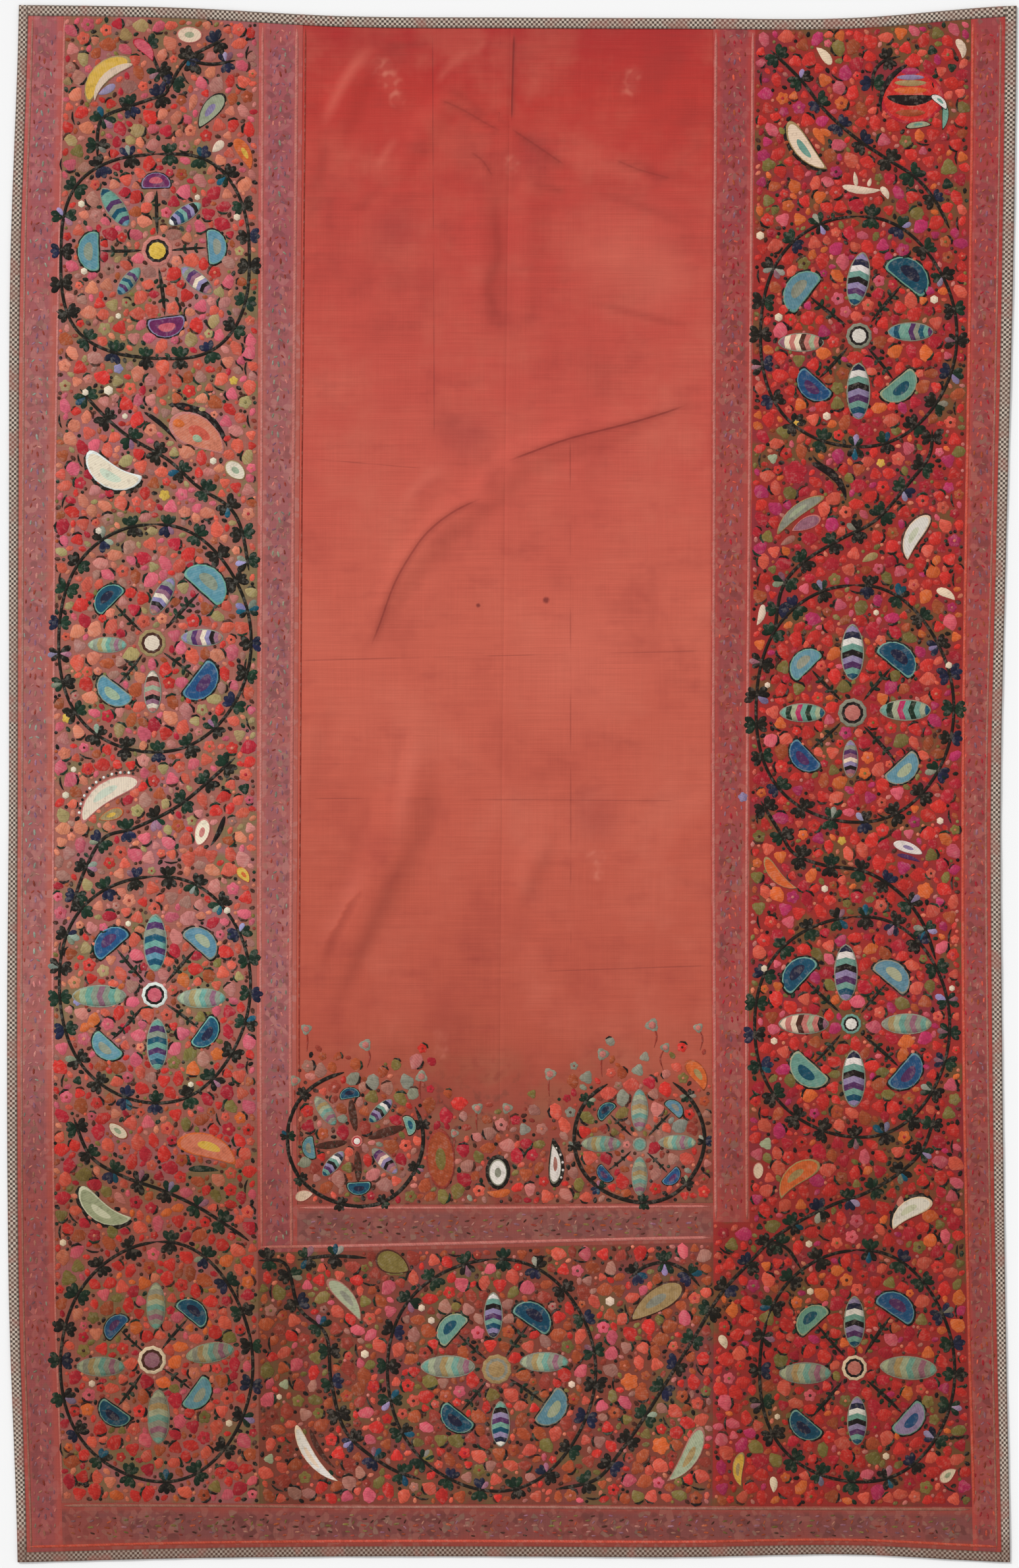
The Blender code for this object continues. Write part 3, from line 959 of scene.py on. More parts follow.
def lobed(radius, lobes, notch):
    """Carries a pad to a flower with rounded lobes."""
    def carry(points):
        angle = np.arctan2(points[:, 0], points[:, 1])
        reach = radius * (1 - notch * (1 + np.cos(lobes * angle)) / 2)
        return points * reach[:, None]
    return carry


PLAIN = ((1.0, FOOT, 0), (0.84, 0.55, 0))
print("a plain leaf has", len(round_pad(8, PLAIN, leafy(16, 8, 0.8, 0.4)).sizes), "faces")

# %% [markdown]
# A shape that is worked thousands of times is copied by arithmetic: all the copies of one shape
# are turned, sized and placed at once, and the whole lot is joined into one mesh at the end.
# Each copy is laid on the cloth, so it follows the creases, and takes its threads as a colour
# at each face corner. Its stitch map keeps its own millimetres, for the direction of its
# threads.

# %% Needlework
def cloth_top(places):
    """How high the worked face of the cloth stands, in millimetres."""
    across, up = places.T
    thickness = np.full(len(places), BORDER_THICKNESS)
    for strip in STRIPS.values():
        inside = ((across > seam_across(strip.left, up)) & (across < seam_across(strip.right, up))
                  & (up > seam_up(strip.foot, across)) & (up < seam_up(strip.head, across)))
        # The right border's seams also enclose its neighbours, and it has the usual thickness.
        if strip.slot != "right_border_silk":
            thickness[inside] = strip.thickness
    return rise(places) + thickness


def facing(run):
    """The angle that turns a shape's y towards a direction."""
    run = np.asarray(run, float)
    return np.arctan2(run[..., 1], run[..., 0]) - math.pi / 2


def laid(flat, places, angles, sizes):
    """A shape's points turned, sized and moved to each place, as arrays across and up."""
    x, y = flat.T[:2]
    across = places[:, :1] + sizes * (x * np.cos(angles) - y * np.sin(angles))
    up = places[:, 1:] + sizes * (x * np.sin(angles) + y * np.cos(angles))
    return across, up


class Needlework:
    """Gathers copies of shapes, and joins them into one piece."""

    def __init__(self, seed):
        self.lots = []
        self.random = np.random.default_rng(seed)

    def add(self, shape, places, angles=0.0, sizes=1.0, threads=(0.5, 0.5, 0.5), vary=0.10,
            lift=0.0):
        """Copies a shape; threads are colours for its roles, for all copies or for each."""
        places = np.atleast_2d(np.asarray(places, float))
        count = len(places)
        angles = np.broadcast_to(angles, count)[:, None]
        sizes = np.broadcast_to(sizes, count)[:, None]
        across, up = laid(shape.points, places, angles, sizes)
        threads = np.asarray(threads, float)
        threads = threads.reshape((1,) * (3 - threads.ndim) + threads.shape)
        roles = shape.roles.max() + 1
        threads = np.broadcast_to(threads, (count, max(roles, threads.shape[1]), 3))
        shade = 1 + vary * self.random.uniform(-1, 1, (count, 1, 1))
        tint = 1 + 0.3 * vary * self.random.uniform(-1, 1, (count, 1, 3))
        shift = self.random.uniform(0, 900, (count, 1, 2)).round()
        self.lots.append((
            np.stack([across, up, np.broadcast_to(shape.points[:, 2] + lift, across.shape)],
                     axis=-1),
            shape, (threads * shade * tint)[:, shape.roles],
            (sizes[..., None] * shape.stitch + shift)[:, shape.corners]))
        return np.stack(laid(shape.body, places, angles, sizes), axis=-1).reshape(-1, 2)

    def finish(self, name, material, slot):
        """Joins all the copies on the cloth as one piece."""
        points = np.concatenate([lot[0].reshape(-1, 3) for lot in self.lots])
        corners, sizes, colours, stitches, start = [], [], [], [], 0
        for places, shape, threads, stitch in self.lots:
            copies = len(places)
            offsets = start + np.arange(copies)[:, None] * len(shape.points)
            corners.append((shape.corners + offsets).ravel())
            sizes.append(np.tile(shape.sizes, copies))
            colours.append(np.repeat(threads, shape.sizes, axis=1).reshape(-1, 3))
            stitches.append(stitch.reshape(-1, 2))
            start += copies * len(shape.points)
        corners, sizes = np.concatenate(corners), np.concatenate(sizes)
        mesh = bpy.data.meshes.new(name)
        mesh.vertices.add(len(points))
        mesh.loops.add(len(corners))
        mesh.polygons.add(len(sizes))
        flat = points[:, :2]
        mesh.vertices.foreach_set("co", on_stage(flat, points[:, 2] + cloth_top(flat)).ravel())
        mesh.loops.foreach_set("vertex_index", corners)
        mesh.polygons.foreach_set("loop_start", np.cumsum(sizes) - sizes)
        mesh.update(calc_edges=True)
        colour = np.concatenate(colours)
        thread = mesh.attributes.new("thread", "FLOAT_COLOR", "CORNER")
        colour = np.column_stack([colour.clip(0, 1), np.ones(len(colour))])
        thread.data.foreach_set("color", colour.astype(np.float32).ravel())
        layer = mesh.uv_layers.new(name="stitch")
        layer.data.foreach_set("uv", np.concatenate(stitches).astype(np.float32).ravel())
        mesh.shade_smooth()
        mesh.validate()
        piece = show(name, mesh, material)
        print(name, sum(len(lot[0]) for lot in self.lots), "shapes,",
              int((sizes - 2).sum()), "triangles")
        return piece


print("thread at the ready")

# %% [markdown]
# Silk floss is glossy along the thread and dull across it, and suzani threads lie side by side
# about a millimetre apart. The finish takes its colour from the thread attribute, varies it a
# little along each skein, and raises fine ridges on the stitch map. Small ties cross them on a
# slant, as in the couching stitch that fills these shapes. The grooves between the threads and
# the lines of the ties are also darkened in the colour, as painted shade.

# %% Worked silk
THREAD_WIDTH = 1.3
TIE_STEP = 4.2


def silk_finish():
    finish = Finish("worked_silk", 0.6, sheen=0.08)
    finish.shader.inputs["Specular IOR Level"].default_value = 0.16
    thread = finish.node("ShaderNodeAttribute", {"attribute_name": "thread"}, output="Color")
    stitch = finish.node("ShaderNodeUVMap", {"uv_map": "stitch"})
    across, lengthways, _ = finish.parts(stitch)
    waver = finish.noise(70.0, 2.0)
    ridges = (across * (2 * math.pi / THREAD_WIDTH) + waver * 5).math("SINE")
    ties = ((lengthways + across * 0.6) * (2 * math.pi / TIE_STEP)).math("SINE")
    ties = ties.limited(0.72, 1.0)
    skein = finish.noise(160.0, 3.0, 0.6)
    dark = finish.mix(1.0, thread, (0.55, 0.52, 0.52), "MULTIPLY")
    light = finish.mix(0.22, thread, silk(236, 214, 196))
    base = finish.mix((skein - 0.5).limited(0.0, 0.16) * 0.45, thread, light)
    base = finish.mix((0.5 - skein).limited(0.02, 0.16) * 0.5, base, dark)
    # Painted shade: the grooves between the laid threads and the lines of the ties are darkened in
    # the colour, besides being sunk in the bump.
    groove_shade = ridges.limited(-0.35, -1.0) * 0.38 + ties * 0.30
    base = finish.mix(groove_shade, base, dark)
    finish.colour(finish.washed(finish.browned(base, FOOT_TINT)))
    finish.roughness(0.5 + 0.22 * skein)
    finish.bump(ridges * 0.5 - ties * 0.8, 0.6, 0.35)
    return finish.material


worked_silk = silk_finish()
print("silk threads", THREAD_WIDTH, "mm wide, tied every", TIE_STEP, "mm")

# %% [markdown]
# The threads are named from the usual dyes: madder and cochineal reds, indigo blues,
# larkspur yellow, and greens of the two together. Greys and khakis are old greens whose yellow
# has gone.

# %% The threads
THREADS = {name: silk(*values) for name, values in {
    "coral": (212, 86, 66), "salmon": (214, 118, 90), "orange": (214, 100, 46),
    "pink": (210, 88, 102), "magenta": (184, 46, 92), "crimson": (180, 34, 48),
    "red": (204, 48, 40), "brick": (156, 60, 46), "olive": (126, 108, 54),
    "khaki": (168, 138, 90), "yellow": (222, 172, 70), "cream": (236, 208, 180),
    "white": (232, 222, 212), "mint": (112, 156, 140), "pale_green": (164, 168, 136),
    "dark_green": (24, 46, 30), "black_green": (30, 24, 16), "navy": (30, 32, 56),
    "black": (28, 18, 16), "teal": (22, 80, 100), "deep_teal": (22, 74, 96),
    "light_blue": (96, 138, 152), "blue": (34, 78, 122), "lavender": (146, 130, 164),
    "mauve": (150, 96, 112), "violet": (84, 44, 90), "purple": (116, 38, 88),
    "grey_green": (142, 140, 122), "brown": (78, 40, 28), "rust": (168, 76, 42),
    "faded": (170, 110, 96), "rose": (200, 116, 106), "pale_mint": (208, 206, 180),
}.items()}


def threads(*names):
    return np.array([THREADS[name] for name in names])


def spot(across, down):
    """The plan place of one point read off the drawing."""
    return from_drawing([across, down])


print(len(THREADS), "threads")

# %% [markdown]
# The chart keeps track of the room that is left, on squares of 2 mm, the way a worker sees
# where the next small flower will fit. The main shapes are entered on it as they are made, and
# at the end the fillers are sown wherever it still shows room.

# %% A chart of the room left
SQUARE = 2.0
REACH = 30.0


class Chart:
    def __init__(self):
        self.margin = int(REACH / SQUARE) + 1
        wide = int(PLAN_WIDTH / SQUARE) + 2 * self.margin
        tall = int(PLAN_LENGTH / SQUARE) + 2 * self.margin
        self.room = np.full((wide, tall), REACH, np.float32)
        line = np.arange(-self.margin, self.margin + 1) * SQUARE
        self.ring = np.hypot(line[:, None], line[None, :]).astype(np.float32)

    def square(self, places):
        return (np.asarray(places) / SQUARE).round().astype(int) + self.margin

    def take(self, places, radius):
        """Enters round spots of one radius, so that nothing else is worked on them."""
        near = self.margin
        for i, j in np.unique(self.square(places), axis=0):
            if near <= i < self.room.shape[0] - near and near <= j < self.room.shape[1] - near:
                window = self.room[i - near:i + near + 1, j - near:j + near + 1]
                np.minimum(window, self.ring - radius, out=window)

    def limit(self, left, right, foot, head, corner=None):
        """The room inside four seams, less a corner cut out of the upper left."""
        i, j = np.indices(self.room.shape)
        across = (i - self.margin) * SQUARE
        up = (j - self.margin) * SQUARE
        to_left = across - seam_across(left, up)
        if corner:
            inner = across - seam_across(corner[0], up)
            to_left = np.maximum(inner, np.minimum(to_left, seam_up(corner[1], across) - up))
        sides = (to_left, seam_across(right, up) - across, up - seam_up(foot, across),
                 seam_up(head, across) - up)
        return np.minimum.reduce(sides)


chart = Chart()
print("the chart has", chart.room.size, "squares")

# %% [markdown]
# Vines are couched cords of dark wool-like silk. Each one follows a smooth curve through a few
# points. A grid two squares wide is extruded to a strip, its middle row is raised, and its
# points are carried along the curve, with both ends drawn out thin.

# %% Vines and cords
def smooth_path(points, step):
    """Even steps along a smooth curve: the places and the directions there."""
    points = np.asarray(points, float)
    fine = np.linspace(0.0, 1.0, 40 * len(points))
    curve = np.stack([along(points[:, 0], fine), along(points[:, 1], fine)], axis=-1)
    walked = np.concatenate([[0.0], np.cumsum(np.hypot(*np.diff(curve, axis=0).T))])
    stops = np.linspace(0.0, walked[-1], max(3, int(walked[-1] / step) + 1))
    places = np.stack([np.interp(stops, walked, curve[:, k]) for k in (0, 1)], axis=-1)
    runs = np.gradient(places, axis=0)
    return places, runs / np.hypot(*runs.T)[:, None], stops


def thicken(bm):
    """Closes a flat grid into a slab 1 high, with its faces outwards."""
    top = bmesh.ops.extrude_face_region(bm, geom=bm.faces[:])["geom"]
    raised = [item for item in top if isinstance(item, bmesh.types.BMVert)]
    bmesh.ops.translate(bm, verts=raised, vec=(0.0, 0.0, 1.0))
    bmesh.ops.recalc_face_normals(bm, faces=bm.faces[:])


def lay_cord(work, points, width, names, step=8.0, height=0.9, taper=12.0, vary=0.1):
    """A couched cord along a path, drawn thin over the taper's length at both ends."""
    places, runs, stops = smooth_path(points, step)
    bm = bmesh.new()
    bmesh.ops.create_grid(bm, x_segments=len(places) - 1, y_segments=2, size=1.0)
    thicken(bm)
    half = width / 2 * np.clip(np.minimum(stops, stops[-1] - stops) / taper, 0.25, 1.0)
    shape = read_shape(bm, lambda grid: grid)
    i = ((shape.points[:, 0] + 1) / 2 * (len(places) - 1)).round().astype(int)
    side, level = shape.points[:, 1], shape.points[:, 2]
    normals = np.column_stack([-runs[:, 1], runs[:, 0]])
    flat = places[i] + normals[i] * (side * half[i])[:, None]
    heights = np.where(level > 0.5, height * (1 - 0.55 * np.abs(side)), FOOT)
    stitch = np.column_stack([side * half[i], stops[i]])
    shape = shape._replace(points=np.column_stack([flat, heights]), stitch=stitch, body=places)
    work.add(shape, [(0.0, 0.0)], threads=threads(names), vary=vary)
    return places, runs, stops


LEAFLET = round_pad(9, PLAIN, leafy(20, 11.5, 0.35, 0.9), 0.3)
VINE_THREADS = ("black_green", "dark_green", "navy", "dark_green", "black_green")
LIGHT_THREADS = ("lavender", "grey_green", "teal", "mauve")


def add_clusters(work, places, runs, reach=1.0):
    """Pairs of small three-leaved sprigs, one on each side of a vine."""
    random = work.random
    for side in (-1, 1):
        base = facing(np.column_stack([-runs[:, 1], runs[:, 0]]) * side)
        base = base + random.uniform(-0.15, 0.15, len(places))
        dark = random.choice(VINE_THREADS, len(places))
        for fan in (-0.62, 0.0, 0.62):
            turn = base + fan
            out = np.column_stack([-np.sin(turn), np.cos(turn)])
            size = reach * random.uniform(0.85, 1.12, len(places))
            centres = places + out * (11 * size)[:, None]
            light = random.random(len(places)) < 0.08
            names = np.where(light, random.choice(LIGHT_THREADS, len(places)), dark)
            colours = np.array([[THREADS[name]] for name in names])
            body = work.add(LEAFLET, centres, turn, size, colours, vary=0.35)
            chart.take(body, 1.5)


def grow_vine(work, points, width=5.2, gap=50.0, start=20.0, reach=1.0):
    """A vine with its sprigs at even steps."""
    places, runs, stops = lay_cord(work, points, width, "black_green")
    chart.take(places, width / 2 + 0.5)
    marks = np.arange(start, stops[-1] - start / 2, gap)
    if len(marks):
        marks = marks + work.random.uniform(-3, 3, len(marks))
        at = np.stack([np.interp(marks, stops, places[:, k]) for k in (0, 1)], axis=-1)
        way = np.stack([np.interp(marks, stops, runs[:, k]) for k in (0, 1)], axis=-1)
        add_clusters(work, at, way, reach)


vines = {side: Needlework(seed) for seed, side in enumerate(("left", "right", "bottom", "field"))}
print("a sprig has", 6 * len(LEAFLET.sizes), "faces")

# %% [markdown]
# Nine large roundels carry the border. Each is a ring of vine, round or slightly squared, and
# not quite even, since it was drawn freehand with a reed pen. Two smaller rings stand at the
# foot of the field.

# %% The rings
# The vine of a ring runs from start to end, in degrees clockwise from the top, and carries a
# sprig at each gap, in millimetres.
Roundel = namedtuple("Roundel", "side across down wide tall heart_across heart_down square gap "
                     "start end", defaults=(0, 362))
ROUNDELS = {
    "L1": Roundel("left", 236, 390, 143, 155, 239, 381, 2.7, 49),
    "L2": Roundel("left", 233, 970, 146, 173, 231, 976, 2.1, 48),
    "L3": Roundel("left", 234, 1500, 145, 172, 235, 1510, 2.1, 48),
    "L4": Roundel("left", 238, 2068, 146, 182, 231, 2064, 2.0, 54),
    "R1": Roundel("right", 1301, 505, 149, 175, 1304, 510, 2.1, 50),
    "R2": Roundel("right", 1296, 1070, 150, 180, 1294, 1082, 2.1, 49),
    "R3": Roundel("right", 1294, 1558, 148, 167, 1292, 1554, 2.1, 48),
    "R4": Roundel("right", 1300, 2075, 148, 176, 1297, 2076, 2.1, 50),
    "B1": Roundel("bottom", 746, 2085, 158, 176, 754, 2078, 2.0, 52),
    "I1": Roundel("field", 540, 1728, 103, 103, 542, 1732, 2.0, 70, 62, 352),
    "I2": Roundel("field", 971, 1728, 99, 97, 971, 1737, 2.0, 74, 30, 338),
}


def ring_points(roundel):
    angles = np.radians(np.arange(roundel.start, roundel.end + 1, 12))
    power = 2 / roundel.square
    sine, cosine = np.sin(angles), np.cos(angles)
    x = roundel.wide * np.sign(sine) * np.abs(sine) ** power
    y = roundel.tall * np.sign(cosine) * np.abs(cosine) ** power
    waver = 1 + 0.012 * np.sin(3 * angles + roundel.down) + 0.008 * np.sin(5 * angles)
    centre = spot(roundel.across, roundel.down)
    return centre + np.column_stack([x, y]) * waver[:, None]


for roundel in ROUNDELS.values():
    width, reach = (5.8, 0.62) if roundel.side == "field" else (4.8, 0.95)
    grow_vine(vines[roundel.side], ring_points(roundel), width, roundel.gap,
              start=roundel.gap * 0.4, reach=reach)
print(len(ROUNDELS), "rings")

# %% [markdown]
# Between the rings the same vine wanders from one side of the border to the other, as if it
# had grown there. Its turning points are read off the drawing.

# %% The wandering vines
# Columns: the turning points, across and down the drawing.
VINES = {
    "left": (
        ((219, 56), (238, 100), (255, 138), (225, 152), (194, 163), (153, 184), (148, 240)),
        ((255, 138), (283, 92), (342, 59)),
        ((283, 92), (322, 98), (357, 92)),
        ((122, 591), (153, 626), (194, 662), (255, 698), (301, 739), (347, 769), (367, 805),
         (378, 866)),
        ((357, 1150), (311, 1191), (265, 1227), (204, 1257), (158, 1272), (128, 1323),
         (107, 1385)),
        ((112, 1696), (138, 1755), (189, 1786), (245, 1806), (301, 1832), (357, 1868),
         (378, 1883)),
    ),
    "bottom": (
        ((393, 1913), (434, 1919), (454, 1985), (495, 2026), (503, 2097), (526, 2174),
         (587, 2225), (638, 2245)),
        ((452, 1912), (500, 1906), (556, 1909)),
        ((955, 1940), (980, 1922), (1010, 1916), (1040, 1928), (1062, 1952)),
    ),
    "right": (
        ((1170, 77), (1216, 122), (1252, 168), (1298, 209), (1344, 240), (1390, 270),
         (1420, 306), (1441, 347)),
        ((1324, 138), (1326, 112), (1340, 94), (1366, 86)),
        ((1415, 652), (1410, 693), (1375, 739), (1329, 790), (1273, 820), (1216, 856),
         (1186, 897), (1176, 963)),
        ((1155, 1216), (1186, 1267), (1206, 1296), (1250, 1313), (1313, 1323), (1364, 1354),
         (1400, 1400), (1420, 1456)),
        ((1420, 1690), (1400, 1745), (1364, 1781), (1313, 1811), (1267, 1827), (1216, 1852),
         (1170, 1883), (1135, 1919), (1094, 1964), (1053, 2031), (1012, 2097), (977, 2153),
         (941, 2204), (905, 2245), (844, 2260)),
        ((1170, 1883), (1196, 1896), (1215, 1925)),
    ),
}
for side, lines in VINES.items():
    for line in lines:
        grow_vine(vines[side], from_drawing(line), gap=46.0, start=14.0, reach=0.95)
print(sum(len(lines) for lines in VINES.values()), "wandering vines")

# %% [markdown]
# Inside each ring four stems run out slantwise from a rosette and end in half-moon fans, and
# four striped leaves stand between them. A fan is a pad with three rings of thread: a light
# outline, a deep body and a bright heart. The striped leaf is a grid whose rows are pulled
# into chevrons, extruded to a thickness and set on a pale pad that shows as its outline.

# %% Fans, rosettes and striped leaves
RIMMED = ((1.0, FOOT, 0), (0.97, 0.6, 0), (0.88, 0.95, 0), (0.84, 0.7, 1), (0.66, 1.1, 1),
          (0.42, 1.15, 1), (0.36, 1.05, 2))
FAN = round_pad(26, RIMMED, leafy(80, 39, 0.3, 0.3, -122), 0.15)
FAN_BED = round_pad(20, ((1.0, FOOT, 0), (0.98, 0.45, 0)), leafy(87, 44, 0.3, 0.3, -120), 0.0)
CORE = ((1.0, FOOT, 0), (0.95, 0.8, 0), (0.74, 1.0, 0), (0.68, 0.7, 1), (0.54, 0.8, 1),
        (0.48, 1.1, 2))
ROSETTE = round_pad(22, CORE, lobed(20.5, 11, 0.06), 0.3)
STEM_LENGTH = 58.0
STEM = round_pad(10, PLAIN, leafy(STEM_LENGTH, 4.8, 0.1, 0.1, 8), 0.3)
STOUT_STEM = round_pad(10, PLAIN, leafy(62, 15.0, 0.1, 0.1, 10), 0.3)
SPUR = round_pad(8, PLAIN, leafy(14, 7.0, 0.4, 0.8, 20), 0.3)
LEAF_BED = round_pad(24, ((1.0, FOOT, 0), (0.96, 0.7, 0), (0.90, 0.85, 0)),
                     leafy(90, 37, 0.15, 0.1), 0.0)
STRIPES = 9


def striped_leaf(length, width):
    """A leaf of chevron stripes; its roles count the stripes from its tail."""
    rows = 2 * STRIPES
    bm = bmesh.new()
    bmesh.ops.create_grid(bm, x_segments=4, y_segments=rows, size=1.0)
    for face in bm.faces:
        row = int((face.calc_center_median().y + 1) / 2 * rows)
        face.material_index = row // 2
    thicken(bm)
    for vert in bm.verts:
        vert.co.z = 1.4 - 0.45 * abs(vert.co.x) if vert.co.z > 0.5 else FOOT
    shape_of = leafy(length, width, 0.15, 0.1)

    def carry(points):
        side, share = points[:, 0], points[:, 1]
        share = share - 0.14 * np.abs(side) * (1 - share ** 2)
        return shape_of(np.column_stack([side * np.sqrt(1 - 0.96 * share ** 2), share]))
    return read_shape(bm, carry)


STRIPED = striped_leaf(84, 32)
FAN_THREADS = {
    "light": ("mint", "light_blue", "grey_green"), "dark": ("mint", "deep_teal", "navy"),
    "mint": ("pale_green", "mint", "teal"), "navy": ("light_blue", "blue", "violet"),
    "pale": ("grey_green", "light_blue", "pale_green"), "purple": ("lavender", "purple", "pink"),
    "lavender": ("mint", "lavender", "blue"),
}
LEAF_THREADS = {
    "bright": ("white", "navy", "lavender", "deep_teal", "mint", "violet", "lavender", "black",
               "mint"),
    "cool": ("mint", "deep_teal", "light_blue", "violet", "mint", "teal", "grey_green",
             "violet", "mint"),
    "faded": ("grey_green", "pale_green", "mint", "grey_green", "mauve", "grey_green",
              "mint", "pale_green", "khaki"),
    "lilac": ("lavender", "faded", "mauve", "black", "lavender", "cream", "mauve", "violet",
              "grey_green"),
    "rosy": ("rose", "cream", "mauve", "black", "rose", "pale_green", "rose", "brown", "cream"),
    "green": ("pale_green", "dark_green", "mint", "teal", "pale_green", "mint", "dark_green",
              "mint", "magenta"),
}
print("a fan has", len(FAN.sizes), "faces and a striped leaf", len(STRIPED.sizes))

# %% [markdown]
# No two roundels were given the same silks or quite the same layout, because each worker used
# what was at hand and drew by eye. The table names each rosette's silks and size, and places
# its four fans and its four striped leaves, measured from the rosette. A fan sits on a dark
# bed that shows as its outline. The two small rings in the field are filled the same way.

# %% Fill the roundels
Filling = namedtuple("Filling", "rosette girth fans leaves")
# Columns of a fan: millimetres across and up from the rosette, size and silks. A leaf has its
# turn in degrees from upright before its silks.
FILLINGS = {
    "L1": Filling(
        ("rose", "black", "yellow"), 1.2,
        ((-2, 102, 0.62, "purple"), (85, 6, 0.75, "light"), (14, -110, 0.8, "purple"),
         (-98, -1, 0.85, "light")),
        ((-64, 66, 0.80, 35, "cool"), (42, 56, 0.66, -57, "bright"), (60, -45, 0.70, 50, "lilac"),
         (-43, -46, 0.6, -39, "cool"))),
    "L2": Filling(
        ("khaki", "brown", "cream"), 1.08,
        ((-65, 66, 0.75, "dark"), (81, 88, 1.05, "light"), (-57, -72, 0.85, "pale"),
         (73, -57, 0.95, "navy")),
        ((16, 71, 0.74, -30, "lilac"), (76, 8, 0.74, 90, "lilac"), (1, -74, 0.74, 0, "rosy"),
         (-68, -3, 0.68, 90, "faded"))),
    "L3": Filling(
        ("white", "black", "pink"), 1.0,
        ((-66, 78, 0.85, "navy"), (69, 78, 0.85, "pale"), (-72, -77, 0.75, "light"),
         (76, -56, 0.75, "dark")),
        ((1, 79, 1.0, 0, "cool"), (71, -5, 0.85, 90, "faded"), (4, -75, 0.9, 0, "cool"),
         (-84, -2, 0.95, 90, "faded"))),
    "L4": Filling(
        ("cream", "brown", "mauve"), 1.1,
        ((-54, 50, 0.62, "navy"), (60, 71, 0.75, "dark"), (-57, -79, 0.75, "dark"),
         (68, -50, 0.78, "light")),
        ((6, 82, 0.82, 0, "faded"), (88, 11, 0.85, 100, "faded"), (10, -86, 0.95, 0, "faded"),
         (-78, -10, 0.85, 90, "faded"))),
    "R1": Filling(
        ("grey_green", "black", "white"), 1.0,
        ((-86, 67, 1.0, "light"), (73, 89, 1.05, "dark"), (-68, -74, 0.85, "navy"),
         (60, -75, 0.9, "mint")),
        ((-1, 86, 0.95, -10, "bright"), (78, 6, 0.8, 90, "cool"), (-1, -84, 1.0, 0, "bright"),
         (-88, -10, 0.8, 90, "rosy"))),
    "R2": Filling(
        ("grey_green", "black", "rose"), 1.12,
        ((-71, 73, 0.8, "light"), (67, 80, 0.95, "dark"), (-72, -65, 0.8, "navy"),
         (75, -83, 0.85, "pale")),
        ((0, 92, 0.98, 0, "bright"), (80, 4, 0.9, 90, "green"), (-3, -70, 0.66, 0, "lilac"),
         (-76, 0, 0.8, 90, "green"))),
    "R3": Filling(
        ("mint", "black", "white"), 0.78,
        ((-78, 74, 0.9, "dark"), (61, 71, 0.9, "pale"), (-64, -69, 0.95, "mint"),
         (82, -72, 0.9, "navy")),
        ((-8, 78, 1.0, 0, "bright"), (84, 0, 0.88, 90, "faded"), (4, -83, 1.0, 0, "bright"),
         (-72, 0, 0.88, 90, "rosy"))),
    "R4": Filling(
        ("cream", "black", "rose"), 0.98,
        ((-64, 72, 0.8, "mint"), (62, 90, 0.9, "navy"), (-74, -86, 0.8, "dark"),
         (82, -76, 0.85, "lavender")),
        ((0, 70, 0.9, 0, "bright"), (82, 0, 1.0, 86, "faded"), (4, -80, 0.85, 0, "bright"),
         (-75, -8, 0.92, 90, "faded"))),
    "B1": Filling(
        ("khaki", "grey_green", "khaki"), 1.15,
        ((-67, 60, 0.8, "mint"), (54, 77, 0.9, "dark"), (-60, -73, 0.8, "dark"),
         (82, -57, 0.9, "pale")),
        ((-5, 82, 0.8, 0, "bright"), (72, 11, 0.85, 90, "faded"), (6, -83, 0.8, 0, "bright"),
         (-74, 4, 0.95, 90, "faded"))),
    "I1": Filling(
        ("rose", "crimson", "white"), 0.45,
        ((-11, 70, 0.42, "dark"), (78, 24, 0.42, "mint"), (3, -68, 0.5, "dark"),
         (-70, -10, 0.48, "light")),
        ((-48, 46, 0.6, 35, "faded"), (36, 46, 0.55, -45, "bright"), (42, -30, 0.6, 45, "lilac"),
         (-36, -34, 0.55, -40, "bright"))),
    "I2": Filling(
        ("grey_green", "mint", "mint"), 0.55,
        ((-50, 50, 0.45, "dark"), (52, 54, 0.45, "light"), (-52, -44, 0.42, "navy"),
         (48, -48, 0.45, "navy")),
        ((0, 52, 0.74, 0, "faded"), (57, 3, 0.66, 90, "faded"), (0, -48, 0.68, 0, "faded"),
         (-58, 1, 0.70, 90, "faded"))),
}
motifs = {side: Needlework(seed + 10) for seed, side in enumerate(vines)}


def work_leaf(work, place, size, turn, palette):
    silks = list(LEAF_THREADS[palette])
    start = int(work.random.integers(0, 4))
    silks = (silks[start:] + silks[:start])[:STRIPES]
    angle = math.radians(turn)
    body = work.add(LEAF_BED, [place], angle, size, threads("grey_green"))
    work.add(STRIPED, [place], angle, size, threads(*silks))
    chart.take(body, 3.0)


